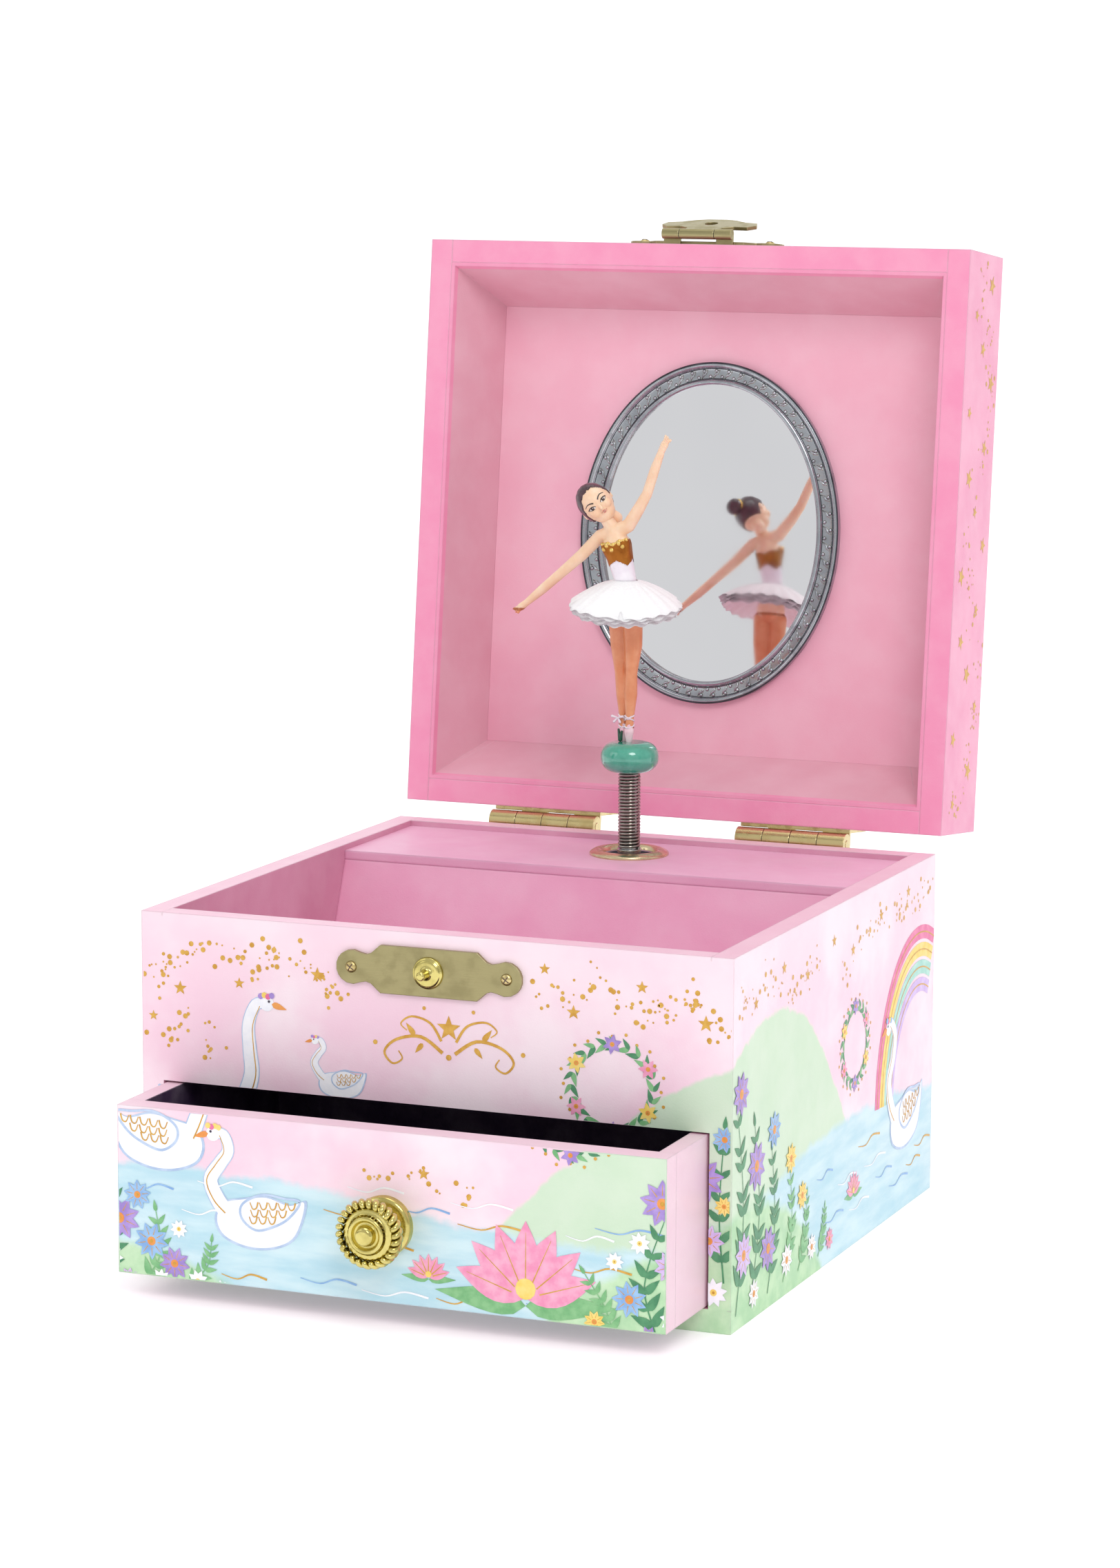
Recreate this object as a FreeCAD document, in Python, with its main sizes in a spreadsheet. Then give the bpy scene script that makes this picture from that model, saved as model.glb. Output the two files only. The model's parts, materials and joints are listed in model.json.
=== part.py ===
"""Ballerina jewellery box with a wind-up musical movement.

Millimetres. The origin is the centre of the underside. X runs to the right, Y to the back, Z up.
The lid stands open, the drawer is pulled out a little and the hasp is folded up.
Lid pieces are drawn in the closed lid and then turned open by their Placement.
Drawer pieces are drawn shut and then slid out by their Placement.
"""
import FreeCAD, Part
import Sketcher
import math
import os
import re

Vector = FreeCAD.Vector
doc = FreeCAD.newDocument("JewelleryBox")

SIZES = {
    # case
    "box_width": 125, "base_height": 73, "lid_height": 24, "board": 4.6, "lid_wall": 5,
    "opening_top": 39, "tray_gap": 0.4, "tray_board": 3,
    "partition_front": 9, "partition_board": 3, "cover_foot": 12, "cover_board": 2.2,
    "shelf_front": 23, "shelf_top": 71.8, "shelf_board": 2,
    # lid
    "lid_open_angle": 96.5, "hinge_axis_gap": 3.3,
    "liner_edge": 0.8, "liner_inset_x": 6, "liner_inset_y": 8.5, "card": 1,
    "mirror_width": 60.7, "mirror_length": 75.6, "glass_width": 51, "glass_length": 66.4,
    "mirror_frame_depth": 1.8, "glass_thickness": 0.5,
    # lid hinges
    "hinge_offset": 29, "hinge_length": 25, "leaf_height": 11, "leaf": 0.9, "knuckle_radius": 2.4,
    "hinge_pin_radius": 0.9, "hinge_bore": 0.95, "knuckle_gap": 0.15,
    "screw_radius": 0.8, "screw_hole": 0.9, "screw_head_radius": 1.25, "screw_head": 0.6, "screw_length": 4,
    # latch and hasp
    "plate": 0.8, "latch_height": 65.4, "latch_half_width": 19.6, "latch_screw_offset": 16.4,
    "stud_dome_radius": 3.2, "stud_dome": 0.7, "stud_pin_radius": 0.9, "stud_pin": 4.2,
    "hasp_half_width": 17.7, "hasp_screw_offset": 14.6, "hasp_axis_drop": 1.2, "hasp_axis_gap": 2.3,
    "hasp_knuckle_radius": 1.15, "hasp_pin_radius": 0.5, "hasp_bore": 0.55, "hasp_neck": 4,
    "hasp_reach": 8.8, "hasp_hole_radius": 1.5, "hasp_rest_turn": 163,
    # drawer
    "drawer_pull": 21, "drawer_length": 68.5, "drawer_side_gap": 0.6, "drawer_lift": 0.4,
    "drawer_face": 5, "drawer_side": 3.5, "drawer_floor": 2, "drawer_lining": 0.6, "knob_height": 20.3,
    # movement
    "spindle_y": 43, "spindle_radius": 1.2, "plug_radius": 1.7, "collar_radius": 2.6,
    "bedplate_front": 54.9, "bedplate_bottom": 12, "bedplate_top": 66,
    "cylinder_radius": 6, "cylinder_bottom": 38, "cylinder_top": 56, "pin_tip_radius": 6.35,
    "comb_tip": 6.5, "comb_root": 13.5, "comb_end": 19.5, "comb_plate": 0.8, "comb_teeth": 18,
    "barrel_height": 26, "barrel_radius": 11, "barrel_front": 45.7, "barrel_back": 54.3,
    "crown_tip": 44.6, "crown_inner": 9.5, "crown_outer": 10.6, "crown_tooth": 0.45,
    "arbor_radius": 1.6, "arbor_bore": 1.65, "pivot_radius": 1.2, "pivot_bore": 1.25,
    "coarse_module": 0.5, "fine_module": 0.4, "pinion_teeth": 8, "crown_teeth": 40,
    "gear_teeth": 48, "governor_teeth": 40, "fan_radius": 4.4, "fan_bottom": 44, "fan_top": 56,
    "key_half_width": 9, "key_thickness": 3, "key_stem_radius": 2.8,
    # spring, bead and figure
    "ferrule_radius": 8.5, "ferrule_bore": 4.5, "ferrule_sleeve": 5.5, "ferrule_flange": 1.2,
    "wire_radius": 0.31, "coil_radius": 2.13, "coil_pitch": 0.72, "spring_length": 18,
    "bead_radius": 6.25, "bead_bottom": 89.7, "bead_height": 6.4, "bead_socket": 2.55,
    "tutu_radius": 12.2, "tutu_bottom": 120.3, "tutu_rim": 126.3, "tutu_top": 131.2, "tutu_shift": -1.1,
}

sheet = doc.addObject("Spreadsheet::Sheet", "Sizes")
for row, (alias, value) in enumerate(SIZES.items(), start=1):
    sheet.set(f"A{row}", alias)
    sheet.set(f"B{row}", str(value))
    sheet.setAlias(f"B{row}", alias)
doc.recompute()

NODES = []


def size(name):
    """A driving dimension, read from the sheet."""
    return float(sheet.get(name))


def bound(text):
    """Expression text in which each alias is looked up in the sheet."""
    def look_up(word):
        return "Sizes." + word.group() if word.group() in SIZES else word.group()

    return re.sub(r"[a-z_]+", look_up, text)


HALF = "box_width / 2"
INNER = "(box_width / 2 - board)"
BASE_TOP = "base_height"
LID_TOP = "(base_height + lid_height)"
LID_CEILING = "(base_height + lid_height - board)"
LID_INNER = "(box_width / 2 - lid_wall)"
HINGE_Y = "(box_width / 2 + hinge_axis_gap)"
HASP_Y = "(0 - box_width / 2 - hasp_axis_gap)"
HASP_Z = "(base_height + hasp_axis_drop)"
LID_OPEN = (f"placement(vector(0; 0; 0); rotation(vector(1; 0; 0); -lid_open_angle);"
            f" vector(0; {HINGE_Y}; base_height))")
HASP_UP = (f"placement(vector(0; 0; 0); rotation(vector(1; 0; 0); -hasp_rest_turn);"
           f" vector(0; {HASP_Y}; {HASP_Z}))")
DRAWER_OUT = "placement(vector(0; -drawer_pull; 0); rotation(vector(0; 0; 1); 0))"


# ---------------------------------------------------------------- drawing helpers

def new_body(label, place=None):
    """A PartDesign body that is one named piece of the box."""
    body = doc.addObject("PartDesign::Body", label)
    body.Label = label
    body.AllowCompound = True
    if place:
        body.setExpression("Placement", bound(place))
    NODES.append(body)
    return body


def add_box(body, x, y, z, cut=False):
    """A block between the low and high expressions given for each axis."""
    kind = "PartDesign::SubtractiveBox" if cut else "PartDesign::AdditiveBox"
    block = body.newObject(kind, body.Label + "_block")
    for side, corner, (low, high) in (("Length", "x", x), ("Width", "y", y), ("Height", "z", z)):
        block.setExpression(side, bound(f"({high}) - ({low})"))
        block.setExpression(f"Placement.Base.{corner}", bound(f"{low}"))
    return block


TURNS = {
    "X": FreeCAD.Rotation(Vector(0, 1, 0), 90),
    "Y": FreeCAD.Rotation(Vector(1, 0, 0), -90),
    "Z": FreeCAD.Rotation(),
}


def add_cylinder(body, radius, start, length, axis, cut=False):
    """A round bar that runs from start along the named axis."""
    kind = "PartDesign::SubtractiveCylinder" if cut else "PartDesign::AdditiveCylinder"
    bar = body.newObject(kind, body.Label + "_bar")
    bar.Placement = FreeCAD.Placement(Vector(), TURNS[axis])
    bar.setExpression("Radius", bound(radius))
    bar.setExpression("Height", bound(length))
    for corner, text in zip("xyz", start):
        bar.setExpression(f"Placement.Base.{corner}", bound(f"{text}"))
    return bar


def add_sketch(body, plane, points):
    """A closed outline on one of the body's own planes, each corner tied to expressions."""
    sketch = body.newObject("Sketcher::SketchObject", body.Label + "_outline")
    support = [item for item in body.Origin.OriginFeatures if item.Role == plane][0]
    sketch.AttachmentSupport = [(support, "")]
    sketch.MapMode = "FlatFace"
    places = [[sheet.evalExpression(bound(f"{text}")) for text in point] for point in points]
    for index, (across, along) in enumerate(places):
        next_across, next_along = places[(index + 1) % len(places)]
        edge = Part.LineSegment(Vector(across, along, 0), Vector(next_across, next_along, 0))
        sketch.addGeometry(edge, False)
    for index in range(len(points)):
        sketch.addConstraint(Sketcher.Constraint("Coincident", index, 2, (index + 1) % len(points), 1))
    for index, point in enumerate(points):
        for kind, text, place in zip(("DistanceX", "DistanceY"), point, places[index]):
            tie = sketch.addConstraint(Sketcher.Constraint(kind, -1, 1, index, 1, place))
            sketch.setExpression(f"Constraints[{tie}]", bound(f"{text}"))
    return sketch


def add_pad(body, sketch, length, backwards=False, cut=False):
    """Material, or a pocket, of the given length from a sketch."""
    pad = body.newObject("PartDesign::Pocket" if cut else "PartDesign::Pad", body.Label + "_pad")
    pad.Profile = sketch
    pad.setExpression("Length", bound(length))
    pad.Reversed = backwards
    return pad


def add_turned(body, sketch, axis):
    """Material turned about one of the sketch's own axes."""
    turned = body.newObject("PartDesign::Revolution", body.Label + "_turned")
    turned.Profile = sketch
    turned.ReferenceAxis = (sketch, [axis])
    turned.Angle = 360
    return turned


def add_fillet(body, feature, edges, radius):
    """Rounded edges on a feature."""
    doc.recompute()
    fillet = body.newObject("PartDesign::Fillet", body.Label + "_round")
    fillet.Base = (feature, edges)
    fillet.setExpression("Radius", bound(radius))
    return fillet


def add_node(label, shape, place=None):
    """A piece whose form has no primitive or sketch of its own."""
    piece = doc.addObject("Part::Feature", label)
    piece.Label = label
    piece.Shape = shape
    if place:
        piece.Placement = place
    NODES.append(piece)
    return piece


# ---------------------------------------------------------------- base

def make_base():
    """Boards of the lower case."""
    bottom = new_body("bottom_board")
    add_box(bottom, (f"-{HALF}", HALF), (f"-{HALF}", HALF), ("0", "board"))

    left = new_body("left_side")
    add_box(left, (f"-{HALF}", f"-{INNER}"), (f"-{HALF}", HALF), ("board", BASE_TOP))

    right = new_body("right_side")
    add_box(right, (INNER, HALF), (f"-{HALF}", HALF), ("board", BASE_TOP))

    front = new_body("front_panel")
    add_box(front, (f"-{INNER}", INNER), (f"-{HALF}", f"-{INNER}"), ("opening_top", BASE_TOP))

    back = new_body("back_panel")
    add_box(back, (f"-{INNER}", INNER), (INNER, HALF), ("board", BASE_TOP))
    add_cylinder(back, "key_stem_radius + 1.7", ("0", f"{INNER} - 1", "barrel_height"), "board + 2", "Y",
                 cut=True)

    partition = new_body("rear_partition")
    add_box(partition, (f"-{INNER}", INNER), ("partition_front", "partition_front + partition_board"),
            ("board", "opening_top + tray_gap"))

    floor = new_body("tray_floor")
    add_box(floor, (f"-{INNER}", INNER), (f"-{INNER}", "cover_foot + cover_board + 0.4"),
            ("opening_top + tray_gap", "opening_top + tray_gap + tray_board"))

    shelf = new_body("movement_shelf")
    add_box(shelf, (f"-{INNER}", INNER), ("shelf_front", INNER), ("shelf_top - shelf_board", "shelf_top"))
    sleeve_foot = ("0", "spindle_y", "shelf_top - shelf_board - 1")
    add_cylinder(shelf, "ferrule_sleeve", sleeve_foot, "shelf_board + 2", "Z",
                 cut=True)

    cover = new_body("movement_cover")
    foot = "opening_top + tray_gap + tray_board"
    head = "shelf_top - shelf_board"
    outline = [("cover_foot", foot), ("cover_foot + cover_board", foot),
               ("shelf_front + cover_board", head), ("shelf_front", head)]
    cover.setExpression("Placement.Base.x", bound(f"-{INNER}"))
    add_pad(cover, add_sketch(cover, "YZ_Plane", outline), f"2 * {INNER}")


def make_ferrule():
    """Turned metal ring round the spring hole."""
    ferrule = new_body("spring_ferrule")
    ferrule.setExpression("Placement.Base.y", bound("spindle_y"))
    ferrule.setExpression("Placement.Base.z", bound("shelf_top"))
    outline = [("ferrule_bore", "-shelf_board"), ("ferrule_sleeve", "-shelf_board"), ("ferrule_sleeve", "0"),
               ("ferrule_radius", "0"), ("ferrule_radius", "ferrule_flange * 0.35"),
               ("ferrule_radius - 0.9", "ferrule_flange"), ("ferrule_bore + 0.9", "ferrule_flange"),
               ("ferrule_bore", "ferrule_flange * 0.35")]
    add_turned(ferrule, add_sketch(ferrule, "XZ_Plane", outline), "V_Axis")


# ---------------------------------------------------------------- lid

def make_lid():
    """Boards and lining of the lid."""
    top = new_body("lid_top", LID_OPEN)
    add_box(top, (f"-{HALF}", HALF), (f"-{HALF}", HALF), (LID_CEILING, LID_TOP))

    wall_height = (BASE_TOP, LID_CEILING)
    walls = {
        "lid_left_wall": ((f"-{HALF}", f"-{LID_INNER}"), (f"-{HALF}", HALF)),
        "lid_right_wall": ((LID_INNER, HALF), (f"-{HALF}", HALF)),
        "lid_front_wall": ((f"-{LID_INNER}", LID_INNER), (f"-{HALF}", f"-{LID_INNER}")),
        "lid_back_wall": ((f"-{LID_INNER}", LID_INNER), (LID_INNER, HALF)),
    }
    for label, (x, y) in walls.items():
        add_box(new_body(label, LID_OPEN), x, y, wall_height)

    panel = new_body("lid_floor_panel", LID_OPEN)
    add_box(panel, (f"-{LID_INNER}", LID_INNER), (f"-{LID_INNER}", LID_INNER),
            (f"{LID_CEILING} - card", LID_CEILING))


def make_lid_liner():
    """Four padded card slopes inside the lid, mitred where they meet."""
    inner = size("box_width") / 2 - size("lid_wall")
    edge = inner - size("liner_edge")
    low = size("base_height")
    high = low + size("lid_height") - size("board") - size("card")
    foot_x = inner - size("liner_inset_x")
    foot_y = inner - size("liner_inset_y")
    block = Part.makeBox(2 * inner, 2 * inner, high - low, Vector(-inner, -inner, low))
    rim = Part.makePolygon([Vector(edge, edge, low), Vector(-edge, edge, low), Vector(-edge, -edge, low),
                            Vector(edge, -edge, low), Vector(edge, edge, low)])
    foot = Part.makePolygon([Vector(foot_x, foot_y, high), Vector(-foot_x, foot_y, high),
                             Vector(-foot_x, -foot_y, high), Vector(foot_x, -foot_y, high),
                             Vector(foot_x, foot_y, high)])
    hollow = Part.makeLoft([rim, foot], True, True)
    ring = block.cut(hollow)
    far = 2 * inner
    slopes = []
    for side_x, side_y in ((1, 0), (-1, 0), (0, 1), (0, -1)):
        corners = [Vector(0, 0, low - 1)]
        for turn in (-1, 1):
            corners.append(Vector(far * (side_x + turn * side_y), far * (side_y + turn * side_x), low - 1))
        sector = Part.Face(Part.makePolygon(corners + corners[:1])).extrude(Vector(0, 0, high - low + 2))
        slopes.append(ring.common(sector))
    angle = FreeCAD.Rotation(Vector(1, 0, 0), -size("lid_open_angle"))
    centre = Vector(0, size("box_width") / 2 + size("hinge_axis_gap"), low)
    add_node("lid_liner", Part.makeCompound(slopes), FreeCAD.Placement(Vector(), angle, centre))


def oval_plate(name, width, length, bottom, thickness):
    """A flat oval solid, long along Y, with its underside at the given height."""
    oval = doc.addObject("Part::Ellipse", name + "_oval")
    oval.Placement = FreeCAD.Placement(Vector(), FreeCAD.Rotation(Vector(0, 0, 1), 90))
    oval.setExpression("MajorRadius", bound(f"{length} / 2"))
    oval.setExpression("MinorRadius", bound(f"{width} / 2"))
    oval.setExpression("Placement.Base.z", bound(bottom))
    plate = doc.addObject("Part::Extrusion", name)
    plate.Base = oval
    plate.DirMode = "Custom"
    plate.Dir = Vector(0, 0, 1)
    plate.Solid = True
    plate.setExpression("LengthFwd", bound(thickness))
    return plate


def make_mirror():
    """Oval mirror glass in its moulded frame, on the lid's floor panel."""
    ceiling = f"{LID_CEILING} - card"
    face = f"{ceiling} - mirror_frame_depth"
    blank = oval_plate("mirror_frame_blank", "mirror_width", "mirror_length", face, "mirror_frame_depth")
    window = oval_plate("mirror_frame_window", "glass_width", "glass_length", f"{face} - 1",
                        "mirror_frame_depth + 2")
    frame = doc.addObject("Part::Cut", "mirror_frame")
    frame.Label = "mirror_frame"
    frame.Base = blank
    frame.Tool = window
    frame.setExpression("Placement", bound(LID_OPEN))
    NODES.append(frame)

    glass = oval_plate("mirror_glass", "glass_width", "glass_length", f"{ceiling} - glass_thickness",
                       "glass_thickness")
    glass.Label = "mirror_glass"
    glass.setExpression("Placement", bound(LID_OPEN))
    NODES.append(glass)


# ---------------------------------------------------------------- hinges and screws

def knuckle_span(index):
    """Start and length of one of a hinge's four knuckles, from the hinge's left end."""
    return f"hinge_length * {index} / 4 + knuckle_gap / 2", "hinge_length / 4 - knuckle_gap"


def make_hinge_leaves(label, lid_side):
    """Two stamped leaves with two knuckles each."""
    leaves = new_body(label, LID_OPEN if lid_side else None)
    sign = "" if lid_side else "-"
    web = ("knuckle_radius - leaf", "knuckle_radius")
    flap = ("knuckle_radius - leaf", "knuckle_radius - leaf + leaf_height")
    for side in (-1, 1):
        start = f"hinge_offset * {side} - hinge_length / 2"

        def rows(span):
            if lid_side:
                return f"base_height + {span[0]}", f"base_height + {span[1]}"
            return f"base_height - ({span[1]})", f"base_height - ({span[0]})"

        add_box(leaves, (start, f"{start} + hinge_length"), (HALF, f"{HALF} + leaf"), rows(flap))
        for index in ((1, 3) if lid_side else (0, 2)):
            offset, length = knuckle_span(index)
            left = f"{start} + {offset}"
            add_box(leaves, (left, f"{left} + {length}"), (f"{HALF} + leaf / 2", HINGE_Y), rows(web))
            add_cylinder(leaves, "knuckle_radius", (left, HINGE_Y, BASE_TOP), length, "X")
        bore_start = (f"{start} - 1", HINGE_Y, BASE_TOP)
        add_cylinder(leaves, "hinge_bore", bore_start, "hinge_length + 2", "X", cut=True)
        for hole in (-1, 1):
            height = f"base_height {'+' if lid_side else '-'} (leaf_height / 2 + knuckle_radius)"
            add_cylinder(leaves, "screw_hole", (f"hinge_offset * {side} + hinge_length * 0.3 * {hole}",
                                                f"{HALF} - 1", height), "leaf + 2", "Y", cut=True)


def add_screws(screws, places, face, outward):
    """Round-headed screws driven through a face along Y; outward is the side the heads are on."""
    for across, up in places:
        shank_start = f"{face} - screw_length" if outward > 0 else face
        add_cylinder(screws, "screw_radius", (across, shank_start, up), "screw_length", "Y")
        head_start = face if outward > 0 else f"{face} - screw_head"
        add_cylinder(screws, "screw_head_radius", (across, head_start, up), "screw_head", "Y")


def make_screws(label, places, face, outward, place=None):
    """A named group of small screws."""
    screws = new_body(label, place)
    add_screws(screws, places, face, outward)
    return screws


def make_hinges():
    """Both lid hinges with their pins and screws."""
    make_hinge_leaves("base_hinge_leaves", False)
    make_hinge_leaves("lid_hinge_leaves", True)
    pins = new_body("hinge_pins")
    for side in (-1, 1):
        start = f"hinge_offset * {side} - hinge_length / 2"
        add_cylinder(pins, "hinge_pin_radius", (start, HINGE_Y, BASE_TOP), "hinge_length", "X")
    spots = [f"hinge_offset * {side} + hinge_length * 0.3 * {hole}" for side in (-1, 1) for hole in (-1, 1)]
    low = "base_height - (leaf_height / 2 + knuckle_radius)"
    high = "base_height + (leaf_height / 2 + knuckle_radius)"
    make_screws("base_hinge_screws", [(spot, low) for spot in spots], f"{HALF} + leaf", 1)
    make_screws("lid_hinge_screws", [(spot, high) for spot in spots], f"{HALF} + leaf", 1, LID_OPEN)


# ---------------------------------------------------------------- latch and hasp

EAR_RADIUS = 3.4
EAR_TURNS = (120, 95, 70, 48, 30, 12)


def plate_outline(half_width):
    """A stamped plate: a wide middle, two waists and two rounded ears."""
    quarter = [("10.2", "4.75"), ("12.2", "3.0"), ("13.2", "2.7")]
    for turn in EAR_TURNS:
        inset = EAR_RADIUS * (1 - math.cos(math.radians(turn)))
        rise = EAR_RADIUS * math.sin(math.radians(turn))
        quarter.append((f"{half_width} - {inset:.3f}", f"{rise:.3f}"))
    upper = quarter[::-1] + [(f"0 - ({across})", along) for across, along in quarter]
    lower = [(across, f"0 - {along}") for across, along in reversed(upper)]
    return upper + lower


def make_latch():
    """Plate with a pin on a dome, on the front of the case."""
    plate = new_body("latch_plate")
    plate.setExpression("Placement.Base.y", bound(f"-{HALF}"))
    plate.setExpression("Placement.Base.z", bound("latch_height"))
    add_pad(plate, add_sketch(plate, "XZ_Plane", plate_outline("latch_half_width")), "plate")
    for side in (-1, 1):
        hole_start = (f"latch_screw_offset * {side}", "-plate - 1", "0")
        add_cylinder(plate, "screw_hole", hole_start, "plate + 2", "Y", cut=True)

    stud = new_body("latch_stud")
    for step in ("stud_dome", "stud_pin"):
        tip = ("0", f"-{HALF} - plate - {step}", "latch_height")
        add_cylinder(stud, f"{step}_radius", tip, step, "Y")

    spots = [(f"latch_screw_offset * {side}", "latch_height") for side in (-1, 1)]
    make_screws("latch_screws", spots, f"-{HALF} - plate", -1)


def make_hasp():
    """Plate, pin and tongue on the front of the lid."""
    middle = f"({HASP_Z} + 6.3)"
    plate = new_body("hasp_plate", LID_OPEN)
    slab = add_sketch(plate, "XZ_Plane", [(across, f"{middle} + ({along})")
                                          for across, along in plate_outline("hasp_half_width")])
    slab.MapMode = "Deactivated"
    slab.Placement = FreeCAD.Placement(Vector(), FreeCAD.Rotation(Vector(1, 0, 0), 90))
    slab.setExpression("Placement.Base.y", bound(f"-{HALF}"))
    add_pad(plate, slab, "plate")
    for side in (-1, 1):
        hole_start = (f"hasp_screw_offset * {side}", f"-{HALF} - plate - 1", middle)
        add_cylinder(plate, "screw_hole", hole_start, "plate + 2",
                     "Y", cut=True)
        near = "hasp_neck + knuckle_gap"
        x = (near, "hasp_neck * 2") if side > 0 else ("0 - hasp_neck * 2", f"0 - ({near})")
        add_box(plate, x, (HASP_Y, f"-{HALF}"),
                (f"{HASP_Z} + hasp_knuckle_radius - plate * 0.8", f"{HASP_Z} + hasp_knuckle_radius"))
        add_box(plate, x, (f"-{HALF} - plate", f"-{HALF}"),
                (f"{HASP_Z} + hasp_knuckle_radius - plate * 0.8", f"{middle} - 3.5"))
        add_cylinder(plate, "hasp_knuckle_radius", (x[0], HASP_Y, HASP_Z), f"({x[1]}) - ({x[0]})", "X")
    add_cylinder(plate, "hasp_bore", ("-hasp_neck * 3", HASP_Y, HASP_Z), "hasp_neck * 6", "X", cut=True)

    spots = [(f"hasp_screw_offset * {side}", middle) for side in (-1, 1)]
    make_screws("hasp_screws", spots, f"-{HALF} - plate", -1, LID_OPEN)

    pin = new_body("hasp_pin", LID_OPEN)
    add_cylinder(pin, "hasp_pin_radius", ("-hasp_neck * 2", HASP_Y, HASP_Z), "hasp_neck * 4", "X")

    tongue = new_body("hasp_tongue", LID_OPEN + " * " + HASP_UP)
    half = [("hasp_neck", "0"), ("hasp_neck", "-4.6"), ("6.2", "-6"), ("9.4", "-5.8"), ("11", "-7.4"),
            ("10.4", "-9.6"), ("7.4", "-10.4"), ("4.6", "-12.2"), ("2.2", "-13")]
    outline = half + [(f"0 - ({across})", along) for across, along in reversed(half)]
    blank = add_sketch(tongue, "XZ_Plane", [(across, f"{HASP_Z} + ({along})") for across, along in outline])
    blank.MapMode = "Deactivated"
    blank.Placement = FreeCAD.Placement(Vector(), FreeCAD.Rotation(Vector(1, 0, 0), 90))
    blank.setExpression("Placement.Base.y", bound(f"{HASP_Y} + plate / 2"))
    add_pad(tongue, blank, "plate")
    add_cylinder(tongue, "hasp_knuckle_radius", ("-hasp_neck", HASP_Y, HASP_Z), "hasp_neck * 2", "X")
    add_cylinder(tongue, "hasp_bore", ("-hasp_neck * 2", HASP_Y, HASP_Z), "hasp_neck * 4", "X", cut=True)
    hole_start = ("0", f"{HASP_Y} - 2", f"{HASP_Z} - hasp_reach")
    add_cylinder(tongue, "hasp_hole_radius", hole_start, "4", "Y", cut=True)


# ---------------------------------------------------------------- drawer

def make_drawer():
    """Drawer boards, lining, knob and the knob's screw."""
    outer = f"({INNER} - drawer_side_gap)"
    front_y = (f"-{HALF}", f"-{HALF} + drawer_face")
    side_y = (f"-{HALF} + drawer_face", f"-{HALF} + drawer_length")
    back_y = (f"-{HALF} + drawer_length - drawer_side", f"-{HALF} + drawer_length")
    inside_y = (front_y[1], back_y[0])
    side_x = (f"({outer} - drawer_side)", outer)
    inside_x = (f"-{side_x[0]}", side_x[0])
    z = ("board + drawer_lift", "opening_top - drawer_lift")
    floor_z = ("board + drawer_lift", "board + drawer_lift + drawer_floor")

    front = new_body("drawer_front", DRAWER_OUT)
    add_box(front, (f"-{outer}", outer), front_y, z)
    add_cylinder(front, "screw_hole", ("0", f"-{HALF} - 1", "knob_height"), "drawer_face + 2", "Y", cut=True)

    add_box(new_body("drawer_left_side", DRAWER_OUT), (f"-{outer}", f"-{side_x[0]}"), side_y, z)
    add_box(new_body("drawer_right_side", DRAWER_OUT), side_x, side_y, z)
    add_box(new_body("drawer_back", DRAWER_OUT), inside_x, back_y, z)
    add_box(new_body("drawer_bottom", DRAWER_OUT), inside_x, inside_y, floor_z)
    lining_z = (floor_z[1], f"{floor_z[1]} + drawer_lining")
    add_box(new_body("drawer_floor_lining", DRAWER_OUT), inside_x, inside_y, lining_z)

    knob_place = f"placement(vector(0; -{HALF} - drawer_pull; knob_height); rotation(vector(0; 0; 1); 0))"
    knob = new_body("drawer_knob", knob_place)
    outline = [("0", "0"), ("0", "6"), ("-0.8", "6"), ("-1.6", "4.2"), ("-3.2", "2.6"), ("-5.2", "2.6"),
               ("-6.4", "5.6"), ("-7.4", "6.9"), ("-8.8", "6.9"), ("-9.6", "6"), ("-9.2", "4.6"), ("-9.4", "3.2"),
               ("-10.4", "2.6"), ("-10.6", "0")]
    add_turned(knob, add_sketch(knob, "YZ_Plane", outline), "H_Axis")
    add_cylinder(knob, "screw_radius", ("0", "-4", "0"), "5", "Y", cut=True)

    screw = new_body("drawer_knob_screw", DRAWER_OUT)
    add_cylinder(screw, "screw_radius", ("0", f"-{HALF} - 4", "knob_height"), "drawer_face + 4", "Y")
    add_cylinder(screw, "screw_head_radius * 1.3", ("0", f"-{HALF} + drawer_face", "knob_height"), "1.2", "Y")


# ---------------------------------------------------------------- musical movement

def toothed_wheel(teeth, module, bottom, thickness, centre, first_angle, pointed):
    """A spur wheel or pinion about Z, with straight-sided teeth."""
    pitch_radius = teeth * module / 2
    root_radius = pitch_radius - 1.15 * module
    tip_radius = pitch_radius + (0.9 if pointed else 0.75) * module
    profile = ((root_radius, 0.62), (pitch_radius, 0.56), (tip_radius, 0.2 if pointed else 0.26))
    points = []
    for tooth in range(int(teeth)):
        middle = math.radians(first_angle + 360 * tooth / teeth)
        for side in (-1, 1):
            for radius, half_width in (profile if side < 0 else profile[::-1]):
                angle = middle + side * half_width * module / radius
                points.append(Vector(radius * math.cos(angle), radius * math.sin(angle), 0))
    blank = Part.Face(Part.makePolygon(points + points[:1])).extrude(Vector(0, 0, thickness))
    blank.translate(centre + Vector(0, 0, bottom))
    return blank


def bar(radius, bottom, top, centre):
    """A round bar along Z."""
    return Part.makeCylinder(radius, top - bottom, centre + Vector(0, 0, bottom))


SPINDLE = Vector(0, size("spindle_y"), 0)
FINE = size("fine_module")
PINION = size("pinion_teeth")
GOVERNOR = SPINDLE + Vector(FINE * (size("gear_teeth") + PINION) / 2, 0, 0)
FAN = GOVERNOR + Vector(FINE * (size("governor_teeth") + PINION) / 2, 0, 0)
PINION_START = 180 / PINION


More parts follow.
